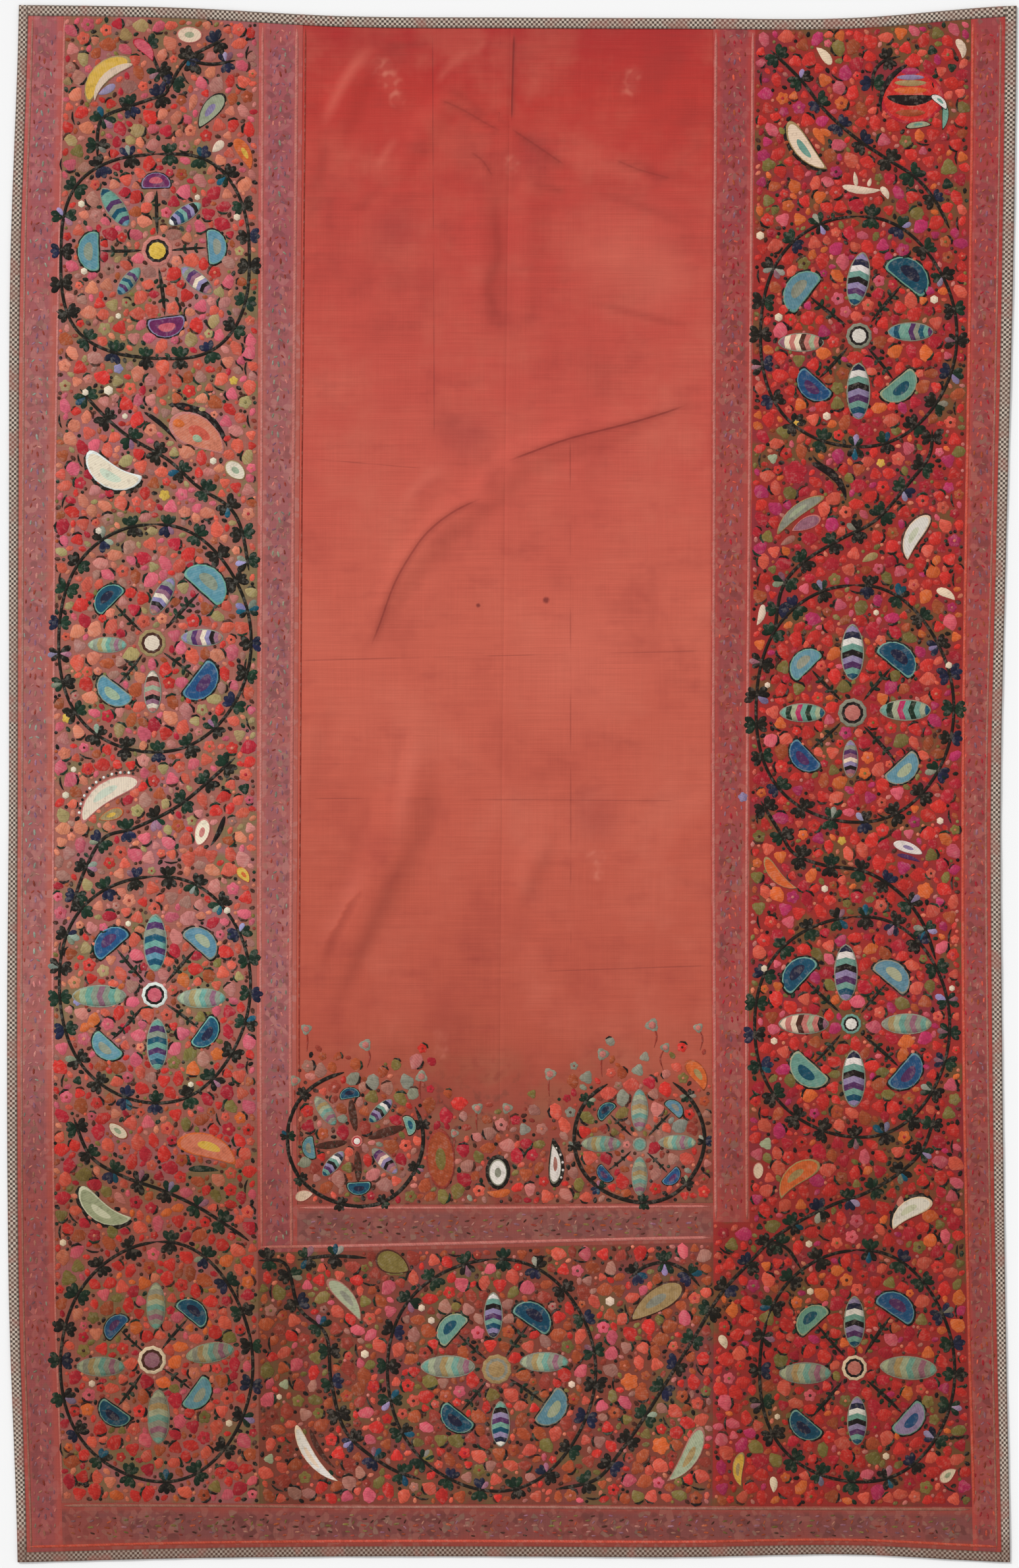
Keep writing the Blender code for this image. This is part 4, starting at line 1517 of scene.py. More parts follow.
def work_fan(work, centre, out, size, silks, stem, bark):
    """A stem with its spurs and the fan at its end."""
    reach = float(np.hypot(*out))
    unit = np.array(out) / reach
    angle = float(facing(unit))
    start, end = 0.20 * reach, reach - 10 * size
    middle = centre + unit * (start + end) / 2
    body = work.add(stem, [middle], angle, (end - start) / STEM_LENGTH, threads(bark))
    chart.take(body, 1.5)
    for side in (-1, 1):
        for share in (0.46, 0.66):
            turn = angle + side * 1.0
            foot = centre + unit * reach * share
            tip = foot + 6.0 * size * np.array([-math.sin(turn), math.cos(turn)])
            body = work.add(SPUR, [tip], turn, size, threads("dark_green"), vary=0.3)
            chart.take(body, 1.0)
    place = centre + unit * (reach + 8 * size)
    work.add(FAN_BED, [place], angle + math.pi / 2, size, threads("black_green"))
    body = work.add(FAN, [place], angle + math.pi / 2, size, threads(*FAN_THREADS[silks]),
                    vary=0.15)
    chart.take(body, 3.0)


for name, filling in FILLINGS.items():
    roundel = ROUNDELS[name]
    work = motifs[roundel.side]
    centre = spot(roundel.heart_across, roundel.heart_down)
    body = work.add(ROSETTE, [centre], 0.2, filling.girth, threads(*filling.rosette))
    chart.take(body, 3.0)
    stem = (STOUT_STEM, "brown") if name == "I1" else (STEM, "black_green")
    for across, up, size, silks in filling.fans:
        work_fan(work, centre, (across, up), size, silks, *stem)
    for across, up, size, turn, palette in filling.leaves:
        work_leaf(work, centre + (across, up), size, turn, palette)
print(len(FILLINGS), "roundels filled")

# %% [markdown]
# Curled drop shapes, called boteh, swim between the vines. Each is a pad that is round at its
# head, pointed at its tip and bent on the way, with an outline, a body and a heart. It is
# turned and sized so that its two ends fall on their places in the drawing. Some have a row of
# small black and white stitches along the outside, like teeth.

# %% Curled drops
Boteh = namedtuple("Boteh", "x y tip_x tip_y width bend silks teeth point lift",
                   defaults=(0, 0.75, 0.0))
BOTEHS = {
    "left": (
        (200, 92, 136, 158, 29, -85, "khaki yellow yellow", 0, 0.4),
        (202, 98, 144, 154, 11, -75, "cream cream cream", 0, 0.5, 0.7),
        (176, 128, 148, 144, 13, 20, "lavender"),
        (180, 148, 206, 184, 14, 20, "black_green"),
        (202, 62, 232, 94, 17, 60, "crimson pink pink"),
        (268, 53, 308, 54, 27, 0, "rose cream pale_green", 0, 0.1),
        (342, 144, 302, 196, 28, -25, "black_green pale_green lavender"),
        (296, 142, 288, 170, 14, 20, "salmon"),
        (340, 214, 322, 232, 15, 0, "cream"),
        (356, 212, 380, 258, 20, 40, "orange orange yellow"),
        (132, 682, 222, 728, 41, -100, "black_green", 0, 0.3),
        (136, 684, 216, 723, 33, -100, "white cream pale_mint", 0, 0.3, 0.7),
        (256, 642, 340, 690, 50, 45, "rose salmon coral"),
        (262, 640, 282, 646, 14, 0, "orange", 0, 0.3, 0.9),
        (292, 662, 308, 670, 13, 0, "pale_green", 0, 0.3, 0.9),
        (250, 614, 346, 684, 14, 80, "black"),
        (216, 624, 270, 674, 8, 30, "black"),
        (342, 704, 370, 728, 26, 30, "khaki cream pale_green", 0, 0.3),
        (216, 1186, 126, 1252, 31, -75, "rose cream pale_mint", 1, 0.4),
        (188, 1230, 150, 1244, 18, 0, "orange khaki yellow"),
        (312, 1242, 300, 1284, 24, 10, "rose cream rose", 0, 0.3),
        (342, 1236, 318, 1286, 9, 25, "black"),
        (360, 1318, 378, 1340, 16, 30, "orange yellow orange"),
        (268, 1736, 358, 1768, 36, 60, "orange salmon yellow", 0, 0.5),
        (284, 1775, 334, 1777, 11, 20, "dark_green"),
        (194, 1726, 166, 1704, 19, 20, "rust cream pale_green", 0, 0.3),
        (118, 1796, 206, 1852, 36, -85, "black_green", 0, 0.4),
        (124, 1800, 200, 1848, 28, -85, "pale_mint pale_green pale_mint", 0, 0.5, 0.7),
        (174, 1810, 192, 1828, 13, 0, "rose"),
    ),
    "right": (
        (1194, 182, 1260, 262, 38, -45, "black_green", 0, 0.6),
        (1198, 184, 1256, 257, 28, -45, "khaki cream mint", 0, 0.6, 0.7),
        (1234, 194, 1252, 222, 14, 20, "orange"),
        (1262, 100, 1238, 72, 15, -30, "cream"),
        (1450, 60, 1460, 90, 13, 80, "cream"),
        (1276, 282, 1340, 288, 13, -30, "cream"),
        (1300, 284, 1297, 260, 8, 0, "cream"),
        (1318, 284, 1322, 270, 7, 0, "cream"),
        (1336, 284, 1348, 304, 11, 50, "cream"),
        (1334, 146, 1434, 150, 88, 0, "crimson red coral", 0, 0.1),
        (1378, 98, 1338, 172, 9, -75, "black", 0, 0.5, 0.7),
        (1412, 146, 1436, 168, 12, 60, "black_green white mint", 1, 0.4, 0.7),
        (1434, 158, 1430, 198, 10, 30, "black_green mint mint"),
        (1374, 194, 1414, 190, 11, 30, "black_green pale_green mint", 0, 0.4),
        (1262, 206, 1244, 196, 12, 0, "orange"),
        (1252, 754, 1180, 812, 19, -45, "khaki grey_green pale_green", 0, 0.3),
        (1246, 786, 1202, 806, 20, -10, "rose mauve mauve"),
        (1208, 814, 1184, 828, 12, 0, "faded"),
        (1228, 702, 1284, 764, 13, 75, "black"),
        (1416, 780, 1376, 854, 34, -60, "brown", 0, 0.5),
        (1412, 784, 1378, 850, 25, -60, "cream white pale_mint", 0, 0.6, 0.7),
        (1334, 842, 1308, 854, 13, -30, "khaki"),
        (1420, 896, 1450, 912, 14, 50, "cream"),
        (1158, 916, 1148, 950, 12, 40, "cream"),
        (1162, 1300, 1210, 1348, 17, -60, "khaki orange orange"),
        (1356, 1280, 1400, 1296, 17, 15, "white white lavender", 0, 0.4),
        (1360, 1297, 1398, 1309, 8, 20, "violet"),
        (1246, 1768, 1186, 1820, 29, -75, "khaki orange khaki"),
        (1420, 1822, 1352, 1868, 35, -75, "black_green", 0, 0.5),
        (1416, 1826, 1356, 1866, 26, -75, "cream white pale_mint", 0, 0.6, 0.7),
        (1366, 1838, 1368, 1814, 14, 0, "rose"),
        (1152, 1764, 1150, 1790, 17, 0, "rose cream cream", 0, 0.2),
        (1128, 2204, 1126, 2256, 16, -60, "khaki yellow khaki"),
        (1428, 2250, 1452, 2230, 18, 30, "rose cream pale_green"),
        (1092, 2026, 1102, 2048, 14, 30, "cream"),
        (1172, 2240, 1174, 2266, 13, 30, "cream"),
    ),
    "bottom": (
        (496, 1942, 548, 2006, 24, 35, "faded pale_green grey_green"),
        (450, 2162, 514, 2248, 17, -50, "cream white cream"),
        (470, 2166, 512, 2230, 9, -40, "brown"),
        (1040, 1950, 956, 2006, 38, -20, "brown khaki grey_green"),
        (1064, 2164, 1012, 2248, 27, 45, "faded pale_green khaki"),
        (570, 1908, 622, 1930, 36, 20, "brown olive olive"),
    ),
    "field": (
        (756, 1750, 756, 1808, 44, 0, "black_green", 0, 0.1),
        (756, 1759, 756, 1800, 29, 0, "grey_green white grey_green", 0, 0.1, 0.7),
        (841, 1806, 838, 1724, 27, -30, "black_green"),
        (840, 1797, 838, 1736, 18, -30, "grey_green white faded", 1, 0.75, 0.7),
        (1040, 1612, 1068, 1656, 24, 60, "rust orange khaki"),
        (448, 1820, 476, 1812, 17, 30, "rose cream cream"),
        (776, 1806, 738, 1808, 13, 60, "orange"),
        (666, 1712, 672, 1806, 46, 0, "brick rust olive", 0, 0.1),
    ),
}
DROP = ((1.0, FOOT, 0), (0.98, 0.65, 0), (0.88, 1.0, 0), (0.82, 0.75, 1), (0.60, 1.15, 1),
        (0.36, 1.2, 1), (0.30, 1.1, 2))
DOT = round_pad(6, PLAIN, lobed(2.6, 1, 0.0), 0.2)


def work_boteh(work, boteh):
    head, tip = from_drawing([(boteh.x, boteh.y), (boteh.tip_x, boteh.tip_y)])
    run = tip - head
    span = float(np.hypot(*run))
    carry = leafy(span * 1.06, boteh.width, boteh.point, 0.05, boteh.bend, 1.4)
    start, end = carry(np.array([(0.0, -1.0), (0.0, 1.0)]))
    angle = float(facing(run) - facing(end - start))
    size = span / float(np.hypot(*(end - start)))
    turn = np.array([[math.cos(angle), -math.sin(angle)], [math.sin(angle), math.cos(angle)]])
    place = head - size * turn @ start
    silks = threads(*boteh.silks.split())
    plain = len(silks) == 1
    shape = round_pad(14 if plain else 24, PLAIN if plain else DROP, carry, 0.2)
    body = work.add(shape, [place], angle, size, silks, lift=boteh.lift)
    chart.take(body, 3.0)
    if boteh.teeth:
        share = np.linspace(-0.8, 0.75, int(span / 6))
        edge = np.column_stack([boteh.teeth * 1.28 * np.sqrt(1 - share ** 2), share])
        edge = place + size * carry(edge) @ turn.T
        colours = threads("black", "white")[np.arange(len(share)) % 2][:, None]
        chart.take(work.add(DOT, edge, 0.0, 1.0, colours), 1.5)


for side, drops in BOTEHS.items():
    for drop in drops:
        work_boteh(motifs[side], Boteh(*drop))
# Columns: silk, down the drawing, length, width and bend of the bars on the red drop.
BARS = (("magenta", 109, 30, 12, 0), ("lavender", 118, 46, 9, 0), ("khaki", 127, 54, 11, 8),
        ("orange", 138, 58, 12, 8), ("black", 153, 80, 19, 40), ("rust", 172, 50, 12, 10))
for silks, down, length, width, bend in BARS:
    bar = round_pad(14, PLAIN, leafy(length, width, 0.2, 0.2, bend), 0.2)
    motifs["right"].add(bar, [spot(1382, down)], math.pi / 2, 1.0, threads(silks), lift=0.9)
print(sum(len(drops) for drops in BOTEHS.values()), "curled drops")

# %% [markdown]
# The rest of the border is covered with small flowers, buds and petals that touch one another.
# They are sown by size: the largest wherever the chart has room for them, then smaller ones
# in what is left, so they never cross the main shapes. The colours come from a list for each
# border. A flower is a single pad with five lobes and a dot for its eye.

# %% Flowers, buds and petals
BLOSSOM = round_pad(15, PLAIN, lobed(1.0, 5, 0.26), 0.2)
TREFOIL = round_pad(12, PLAIN, lobed(1.05, 3, 0.34), 0.2)
BUD = round_pad(10, PLAIN, leafy(2.4, 1.9, 0.75, 0.0, 60), 0.2)
PETAL = round_pad(7, PLAIN, leafy(2.4, 1.6, 0.35, 0.0, 45), 0.25)
ROUND = round_pad(6, PLAIN, lobed(1.0, 1, 0.0), 0.25)
HUG = round_pad(7, ((1.0, FOOT, 0), (0.7, 0.8, 0)), leafy(1.9, 0.42, 0.35, 0.2, -110), 0.2)
DASH = round_pad(8, PLAIN, leafy(24, 3.4, 0.3, 0.3, 60), 0.2)
# Each list runs through neighbouring colours, because like colours were worked side by side.
SOWN = {
    "left": ("coral", "rose", "coral", "red", "pink", "crimson", "salmon", "pink", "faded",
             "coral", "khaki", "rust", "red", "salmon"),
    "left_foot": ("red", "coral", "crimson", "red", "orange", "coral", "pink", "red", "olive",
                  "coral", "crimson", "rust", "red", "salmon"),
    "right": ("red", "coral", "red", "red", "orange", "crimson", "red", "magenta", "coral",
              "pink", "crimson", "rust", "red", "olive"),
    "bottom": ("coral", "red", "rust", "brick", "olive", "rust", "faded", "pink", "brick",
               "red", "coral", "rust"),
    "field": ("coral", "rust", "brick", "coral", "red", "grey_green", "faded", "rose",
              "crimson", "rust", "faded", "olive"),
}
EYES = ("brick", "crimson", "brown", "olive", "rose", "salmon")
SMALL = ("black_green", "rust", "brown", "rose", "coral", "brown", "black", "dark_green",
         "brick", "black_green", "salmon", "brown", "olive")
REDDER_BELOW = 840.0
HUGS = ("black_green", "black", "brown", "dark_green")
# Columns: radius, and the share of free places that are taken.
SOWINGS = ((10.5, 0.25), (8.6, 0.7), (7.0, 1.0), (5.6, 1.0), (4.3, 1.0), (3.1, 0.5))


def drift(places, seed):
    """A slow wander from 0 to 1 over the cloth."""
    x, y = places.T
    waves = (np.sin(x / 27 + seed) + np.sin(y / 31 + 2 * seed) + np.sin((x + y) / 47 + seed)
             + np.sin((x - 1.3 * y) / 19))
    return waves / 8 + 0.5


def pick(work, names, places, seed):
    """A thread for each place, from a list that drifts slowly over the cloth."""
    share = drift(places, seed) * 2.2 + work.random.uniform(0, 0.45, len(places))
    numbers = (share * len(names)).astype(int) % len(names)
    return threads(*names)[numbers][:, None]


def sow(side, room, work, keep=None):
    """Fills the room inside one strip; room is the distance to its seams."""
    random = work.random
    counts = []
    for radius, share in SOWINGS:
        free = np.argwhere((np.minimum(chart.room, room) > radius) & (room > radius + 1))
        random.shuffle(free)
        chance = share if keep is None else share * keep[free[:, 0], free[:, 1]]
        free = free[random.random(len(free)) < chance]
        places = []
        for i, j in free:
            if chart.room[i, j] > radius:
                place = (np.array([i, j]) - chart.margin) * SQUARE
                place = place + random.uniform(-0.9, 0.9, 2)
                places.append(place)
                chart.take([place], radius * 0.98)
        counts.append(len(places))
        if places:
            plant(side, work, np.array(places), radius)
    print(side, "sown with", counts)


def plant(side, work, places, radius):
    random = work.random
    count = len(places)
    turns = random.uniform(0, 2 * math.pi, count)
    sizes = radius * random.uniform(0.95, 1.1, count)
    if radius < 5:
        shape = PETAL if radius > 4 else ROUND
        colours = threads(*random.choice(SMALL, count))[:, None]
        work.add(shape, places, turns, sizes, colours, vary=0.2)
        return
    colours = pick(work, SOWN[side], places, 1.0 + len(side))
    if side == "left":
        low = places[:, 1] + random.uniform(-120, 120, count) < REDDER_BELOW
        colours[low] = pick(work, SOWN["left_foot"], places[low], 2.0)
    if radius < 6:
        work.add(PETAL, places, turns, sizes, colours, vary=0.2)
        return
    kinds = random.choice(5, count)
    for kind, shape in enumerate((BLOSSOM, TREFOIL, BUD, BUD, PETAL)):
        chosen = kinds == kind
        work.add(shape, places[chosen], turns[chosen], sizes[chosen] * 1.08, colours[chosen],
                 vary=0.18)
    hugged = random.random(count) < 0.42
    around = random.uniform(0, 2 * math.pi, count)
    beside = places + sizes[:, None] * np.column_stack([np.cos(around), np.sin(around)])
    colours = threads(*random.choice(HUGS, count))[:, None]
    work.add(HUG, beside[hugged], around[hugged], sizes[hugged] * 1.05, colours[hugged],
             vary=0.2, lift=0.3)
    eyed = (kinds == 0) & (radius > 6)
    eyes = threads(*random.choice(EYES, count))[:, None]
    work.add(ROUND, places[eyed], turns[eyed], sizes[eyed] * 0.26, eyes[eyed], lift=0.6)


fillers = {side: Needlework(seed + 20) for seed, side in enumerate(vines)}
print("a blossom has", len(BLOSSOM.sizes), "faces")

# %% [markdown]
# Before the sowing come the small marks that the drawing does place: cream beads that catch
# the eye, a yellow star, olive and green spots, and dark curled dashes along the borders'
# edges.

# %% Beads, spots and dashes
# Columns: across and down the drawing, and radius.
CREAM_BEADS = ((1154, 358, 7), (1182, 482, 7), (1418, 455, 7), (1255, 632, 7), (1098, 2036, 6),
               (130, 596, 6), (190, 632, 5), (150, 806, 6), (324, 700, 6), (112, 1168, 5),
               (345, 1382, 6), (195, 1402, 5), (290, 1646, 5), (96, 1886, 6), (140, 2100, 6),
               (348, 2160, 6), (655, 2004, 6), (868, 2101, 6), (424, 2120, 5), (640, 1985, 6),
               (1330, 930, 5), (1160, 1470, 6), (1175, 1580, 6), (1445, 1500, 5),
               (1230, 1960, 6), (1345, 2210, 6), (1180, 2150, 5), (300, 300, 5),
               (124, 310, 6), (165, 593, 8),
               (128, 412, 6), (360, 330, 6), (180, 480, 5), (1440, 1010, 6), (1165, 1040, 5),
               (100, 1207, 6), (1252, 1349, 6), (1427, 1246, 6), (554, 2055, 7), (926, 1975, 8),
               (1228, 1888, 6))
SPOTS = {
    "olive": ((1440, 255, 15), (1166, 250, 13), (1166, 305, 11), (1165, 2000, 14),
              (1152, 1378, 12), (118, 230, 12), (600, 1925, 16), (1440, 1690, 12),
              (104, 1940, 14), (1190, 655, 13), (650, 2210, 12), (480, 2060, 12)),
    "magenta": ((1159, 237, 12), (1190, 170, 9), (1440, 740, 10)),
    "dark_green": ((371, 1197, 10), (352, 1420, 8), (118, 1640, 8), (1430, 1180, 8),
                   (1415, 77, 9), (1445, 103, 8), (1438, 280, 10), (1153, 1862, 6)),
    "yellow": ((355, 578, 8), (102, 1090, 9), (1210, 640, 8), (250, 752, 10), (1337, 703, 8),
               (1278, 1276, 8)),
    "lavender": ((1128, 1210, 9), (180, 560, 9), (118, 1520, 8)),
    "crimson": ((1207, 718, 22), (190, 1560, 10), (1180, 1420, 12)),
    "orange": ((1003, 2194, 16), (1404, 1352, 15), (956, 2097, 16), (330, 1600, 12)),
    "pale_green": ((1163, 1736, 11), (1173, 696, 9), (432, 2101, 9), (409, 2214, 9)),
}
# Columns: across and down the drawing, and the turn in degrees from upright.
DASHES = {
    "left": ((92, 250, 0), (90, 640, 10), (96, 760, -20), (90, 880, 0), (92, 1190, 15),
             (90, 1440, 0), (94, 1640, -10), (90, 1870, 0), (92, 2200, 10), (374, 80, -10),
             (372, 560, 0), (376, 640, 10), (372, 1010, 0), (376, 1100, 20), (374, 1620, 0),
             (372, 1800, -10), (330, 590, 60), (200, 540, 80), (120, 700, 20), (340, 830, 60),
             (130, 1150, 70), (260, 1310, 90), (200, 1680, 70), (330, 1700, 20), (110, 1850, 40),
             (140, 1900, 80), (360, 1960, 0), (280, 120, 30), (110, 180, 10), (340, 260, 60)),
    "right": ((1452, 160, 0), (1450, 240, 0), (1452, 340, 5), (1448, 620, 0), (1444, 760, 10),
              (1446, 880, 0), (1440, 1240, 10), (1444, 1340, 0), (1440, 1420, -10),
              (1444, 1740, 0), (1452, 1900, 5), (1450, 1990, 0), (1154, 120, 0), (1150, 420, 5),
              (1152, 700, 0), (1150, 880, -10), (1148, 1240, 0), (1150, 1400, 10),
              (1152, 1690, 0), (1100, 1900, 60), (1060, 2080, 30), (1100, 2160, 0),
              (1270, 120, 60), (1400, 220, 80), (1240, 700, 50), (1300, 900, 80),
              (1340, 1240, 70), (1250, 1880, 60), (1330, 1900, 80), (1440, 2260, 60)),
    "bottom": ((410, 1960, 0), (408, 2040, 5), (440, 2100, 20), (420, 2260, 60), (560, 1950, 80),
               (540, 2050, 10), (560, 2130, 30), (640, 2275, 80), (900, 2275, 90),
               (930, 2100, 0), (950, 1990, 20), (1010, 2160, 30), (1060, 2260, 80),
               (880, 1915, 80), (690, 1906, 85), (820, 1908, 90)),
}
# Columns: where each border begins and ends, across the drawing.
BORDER_SPANS = {"left": (70, 392), "bottom": (392, 1081), "right": (1081, 1480)}


def side_at(across):
    return next(side for side, (low, high) in BORDER_SPANS.items() if low <= across < high)


for across, down, radius in CREAM_BEADS:
    body = fillers[side_at(across)].add(ROUND, [spot(across, down)], 0.0, radius,
                                        threads("cream"), lift=0.3)
    chart.take(body, 1.5)
for name, places in SPOTS.items():
    for across, down, radius in places:
        work = fillers[side_at(across)]
        shape = TREFOIL if "green" in name or name == "olive" else BLOSSOM
        chart.take(work.add(shape, [spot(across, down)], across, radius, threads(name)), 2.0)
for side, places in DASHES.items():
    for across, down, turn in places:
        body = fillers[side].add(DASH, [spot(across, down)], math.radians(turn), 1.0,
                                 threads("black_green"), vary=0.3, lift=0.3)
        chart.take(body, 1.0)
print(len(CREAM_BEADS), "beads and", sum(map(len, DASHES.values())), "dashes")

# %% [markdown]
# The foot of the field was begun as a garden: small grey flowers on stalks stand highest, and
# below them the sowing grows thicker towards the band, until it is as close as in the borders.
# A share for each square of the chart says how likely it is to be sown.

# %% Sow the borders and the foot of the field
STALKED = ((465, 1562, 0.9), (555, 1586, 1.0), (640, 1634, 1.0), (915, 1600, 1.0),
           (990, 1556, 1.1), (835, 1630, 1.0), (725, 1682, 0.9), (770, 1682, 0.9),
           (1010, 1590, 0.8), (448, 1640, 0.9), (690, 1720, 0.7), (1060, 1560, 0.8))
for across, down, size in STALKED:
    top = spot(across, down)
    sway = vines["field"].random.uniform(-8, 8)
    stalk = [top, top + (sway, -16.0), top + (sway * 0.4, -34.0)]
    places, _, _ = lay_cord(vines["field"], stalk, 2.6, "brick", 6.0, 0.6)
    chart.take(places, 1.5)
    flower = motifs["field"]
    body = flower.add(TREFOIL, [top], sway, 11.0 * size, threads("grey_green"))
    flower.add(ROUND, [top], 0.0, 6.0 * size, threads("rose"), lift=0.6)
    chart.take(body, 2.0)

ROOMS = {
    "left": chart.limit("left_band", "left_border", "border_foot", "top_braid"),
    "right": chart.limit("field_right", "right_band", "border_foot", "top_braid", STEP_NOTCH),
    "bottom": chart.limit("left_border", "field_right", "border_foot", "band_foot"),
    "field": chart.limit("field_left", "field_right", "field_foot", "top_braid"),
}
for side in ("left", "right", "bottom"):
    sow(side, ROOMS[side], fillers[side])
GARDEN_TOP = 826.0
GARDEN_DEPTH = 190.0
SMALL_RING_ROOM = 96.0
squares = np.indices(chart.room.shape)
across, up = [(squares[k] - chart.margin) * SQUARE for k in (0, 1)]
ragged = GARDEN_TOP + 16 * np.sin(across / 23) + 12 * np.sin(across / 9 + 1) - 90 * np.exp(
    -((across - 745) / 120) ** 2)
keep = smooth_step((ragged - up) / GARDEN_DEPTH) ** 3 * 0.5
for name in ("I1", "I2"):
    middle = spot(ROUNDELS[name].heart_across, ROUNDELS[name].heart_down)
    keep[np.hypot(across - middle[0], up - middle[1]) < SMALL_RING_ROOM] = 1.0
sow("field", ROOMS["field"], fillers["field"], keep)

# %% [markdown]
# The bands are edged by guard lines, a cord of pale rose silk along each side, and carry a row
# of small figures, each of seven short dashes, in silks that have faded into their cloth.

# %% Guard lines and figures of the bands
# Columns: the seam, millimetres from it, the seams that end the line, width and silk.
GUARDS = {
    "left": (("left_border", 6.0, "band_foot", "top_braid", 3.6, "rose"),
             ("field_left", -9.0, "band_foot", "top_braid", 4.6, "rose"),
             ("field_left", 4.0, "field_foot", "top_braid", 2.4, "brick"),
             ("left_band", 1.5, "border_foot", "top_braid", 3.6, "rose"),
             ("left_braid", 7.0, "bottom_braid", "top_braid", 3.0, "faded")),
    "right": (("field_right", 4.0, "border_step", "top_braid", 4.2, "rose"),
              ("right_border", -4.0, "border_step", "top_braid", 4.0, "rose"),
              ("right_band", 3.0, "border_foot", "top_braid", 4.0, "coral"),
              ("right_braid", -7.0, "bottom_braid", "top_braid", 3.0, "faded")),
}
# Columns: the seam, millimetres above it, the seams that end the line, width and silk.
LEVEL_GUARDS = (("field_foot", -5.0, "field_left", "field_right", 3.6, "rose"),
                ("band_foot", 8.0, "left_border", "field_right", 4.6, "rose"),
                ("border_foot", -4.0, "left_band", "right_band", 4.0, "faded"),
                ("bottom_braid", 8.0, "left_braid", "right_braid", 4.0, "coral"))
bands = {side: Needlework(seed + 30) for seed, side in enumerate(("left", "right", "bottom"))}
for side, lines in GUARDS.items():
    for seam, offset, foot, head, width, name in lines:
        middle = float(seam_across(seam, 1200.0))
        reach = np.linspace(float(seam_up(foot, middle)) + 4, float(seam_up(head, middle)) - 6, 60)
        line = np.column_stack([seam_across(seam, reach) + offset, reach])
        lay_cord(bands[side], line, width, name, 14.0, 0.55, 4.0, vary=0.0)
for seam, offset, left, right, width, name in LEVEL_GUARDS:
    middle = float(seam_up(seam, 700.0))
    reach = np.linspace(float(seam_across(left, middle)) + 4,
                        float(seam_across(right, middle)) - 4, 40)
    line = np.column_stack([reach, seam_up(seam, reach) + offset])
    lay_cord(bands["bottom"], line, width, name, 14.0, 0.55, 4.0, vary=0.0)

ARM = round_pad(6, ((1.0, FOOT, 0), (0.8, 0.35, 0)), leafy(12.0, 4.4, 0.4, 0.4), 0.1)
FIGURE_STEP = 26.0
# Columns: millimetres sideways and along, turn in degrees and size of each dash.
FIGURE = ((0, 0, 0, 1.0), (9, 3, 10, 0.8), (-9, 3, -10, 0.8), (5, 12, 60, 0.7),
          (-5, 12, -60, 0.7), (15, 11, 0, 0.7), (-15, 11, 0, 0.7))
FIGURE_SILKS = {"left": ("mauve", "grey_green", "rose", "brick", "mauve", "faded"),
                "right": ("crimson", "mauve", "faded", "rust", "brick", "coral"),
                "bottom": ("brick", "mauve", "rust", "olive", "faded", "brown")}
# Columns: side, whether the band stands upright, and its four seams.
BANDS = (("left", True, "left_border", "field_left", "band_foot", "top_braid"),
         ("left", True, "left_braid", "left_band", "bottom_braid", "top_braid"),
         ("right", True, "field_right", "right_border", "border_step", "top_braid"),
         ("right", True, "right_band", "right_braid", "bottom_braid", "top_braid"),
         ("bottom", False, "field_left", "field_right", "band_foot", "field_foot"),
         ("bottom", False, "left_band", "right_band", "bottom_braid", "border_foot"))
for side, upright, left, right, foot, head in BANDS:
    work = bands[side]
    if upright:
        up = np.arange(float(seam_up(foot, 400.0)) + 20, float(seam_up(head, 400.0)) - 14,
                       FIGURE_STEP)
        across = (seam_across(left, up) + seam_across(right, up)) / 2
    else:
        across = np.arange(float(seam_across(left, 200.0)) + 20,
                           float(seam_across(right, 200.0)) - 14, FIGURE_STEP)
        up = (seam_up(foot, across) + seam_up(head, across)) / 2
    middles = np.column_stack([across, up]) + work.random.uniform(-1.5, 1.5, (len(up), 2))
    onwards = np.array((0.0, 1.0) if upright else (1.0, 0.0))
    sideways = onwards[::-1]
    lean = 0.0 if upright else math.pi / 2
    for shift, step, turn, size in FIGURE:
        places = middles + sideways * shift + onwards * step
        places += work.random.uniform(-1.2, 1.2, places.shape)
        colours = threads(*work.random.choice(FIGURE_SILKS[side], len(places)))[:, None]
        turns = lean + math.radians(turn) + work.random.uniform(-0.25, 0.25, len(places))
        work.add(ARM, places, turns, size, colours, vary=0.25)
print("guards and figures on", len(BANDS), "bands")

# %% [markdown]
# All the shapes of one strip and kind are joined now, as separate pieces on the cloth.

# %% Join the needlework
for side, slot in (("left", "left_border_silk"), ("right", "right_border_silk"),
                   ("bottom", "bottom_border_silk"), ("field", "field_cloth")):
    for kind, works in (("vines", vines), ("motifs", motifs), ("fillers", fillers)):
        works[side].finish(kind + "_" + side, worked_silk, slot)
for side, work in bands.items():
    work.finish("figures_on_bands_" + side, worked_silk, "band_silk")

# %% [markdown]
# The camera hangs straight above the cloth, far enough away that the view is almost square on.
# One large soft light from the upper left shows the relief, and a bright plain sky fills the
# rest.

# %% Floor, camera and light
# Metres, apart from the sensor's width, which is in millimetres.
CAMERA_HEIGHT = 6.0
LENS_SENSOR = 36.0
FLOOR_HALF_SIDE = 8.0
FLOOR_DROP = 0.0006
# Angles in degrees.
SKY_STRENGTH = 0.62
WINDOW_STRENGTH = 1.75
WINDOW_SPREAD = 14.0
WINDOW_TILT = (-34.0, -44.0, 0.0)


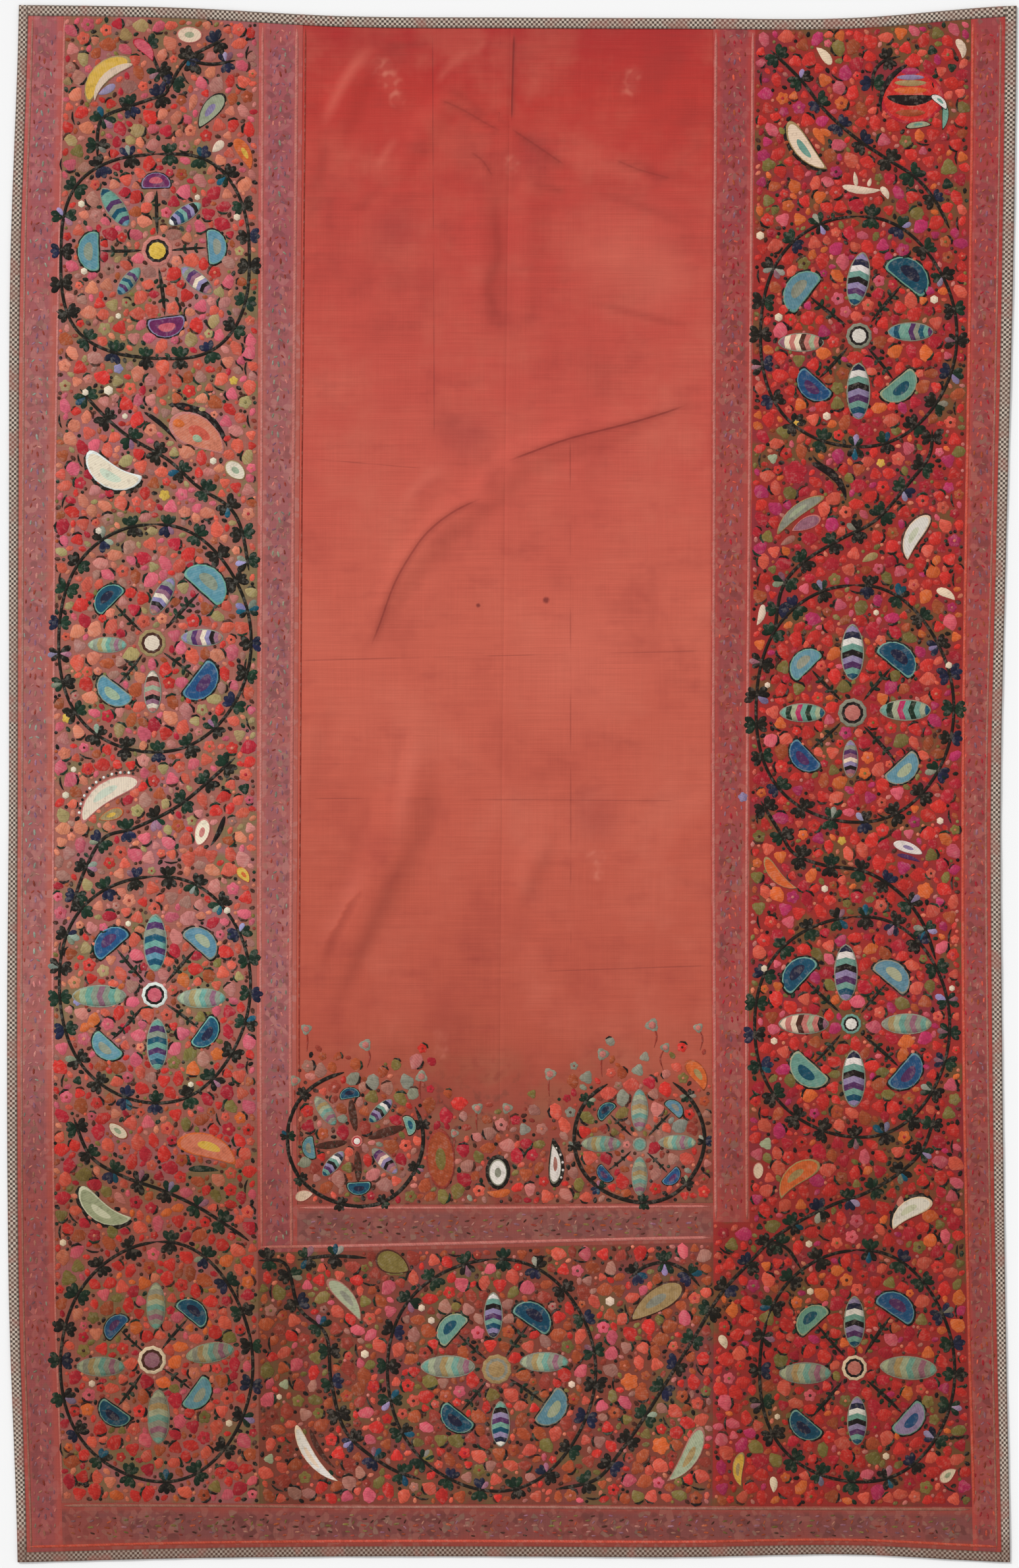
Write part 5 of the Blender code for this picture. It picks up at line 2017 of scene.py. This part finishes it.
def stand_stage():
    bm = bmesh.new()
    bmesh.ops.create_grid(bm, x_segments=2, y_segments=2, size=FLOOR_HALF_SIDE)
    bmesh.ops.translate(bm, verts=bm.verts, vec=(0.0, 0.0, -FLOOR_DROP))
    mesh = bpy.data.meshes.new("floor")
    bm.to_mesh(mesh)
    bm.free()
    paint = Finish("pale_floor", 0.9)
    paint.colour(silk(252, 252, 252))
    mesh.materials.append(paint.material)
    floor = bpy.data.objects.new("floor", mesh)
    bpy.context.collection.objects.link(floor)


def hang_camera():
    width, length = DRAWING
    middle = (from_drawing([width / 2, length / 2]) + PLAN_ORIGIN) * MM
    lens = bpy.data.cameras.new("camera")
    lens.sensor_fit = "AUTO"
    lens.sensor_width = LENS_SENSOR
    lens.lens = LENS_SENSOR * CAMERA_HEIGHT / (length * MM)
    camera = bpy.data.objects.new("camera", lens)
    camera.location = (*middle, CAMERA_HEIGHT)
    bpy.context.collection.objects.link(camera)
    bpy.context.scene.camera = camera
    print("camera over", middle.round(4), "with a lens of", round(lens.lens, 1), "mm")


def light_stage():
    sky = bpy.data.worlds.new("sky")
    sky.use_nodes = True
    background = sky.node_tree.nodes["Background"]
    background.inputs["Color"].default_value = (1.0, 1.0, 1.0, 1.0)
    background.inputs["Strength"].default_value = SKY_STRENGTH
    bpy.context.scene.world = sky
    sun = bpy.data.lights.new("window", "SUN")
    sun.energy = WINDOW_STRENGTH
    sun.angle = math.radians(WINDOW_SPREAD)
    window = bpy.data.objects.new("window", sun)
    window.rotation_euler = [math.radians(angle) for angle in WINDOW_TILT]
    bpy.context.collection.objects.link(window)
    bpy.context.scene.view_settings.view_transform = "Standard"


stand_stage()
hang_camera()
light_stage()

# %% Sizes and the end
# Millimetres: a level above the right border's step, and the step's height above its foot.
MIDWAY_UP = 1400.0
STEP_RISE = 430.0
for name, (piece, size) in sheets.items():
    if name == "border_right":
        cut = seam_across("right_border", MIDWAY_UP) - seam_across("field_right", MIDWAY_UP)
        left_out = float(cut) * (size[1] / MM - STEP_RISE) * MM * MM
        size[0] * size[1] - left_out
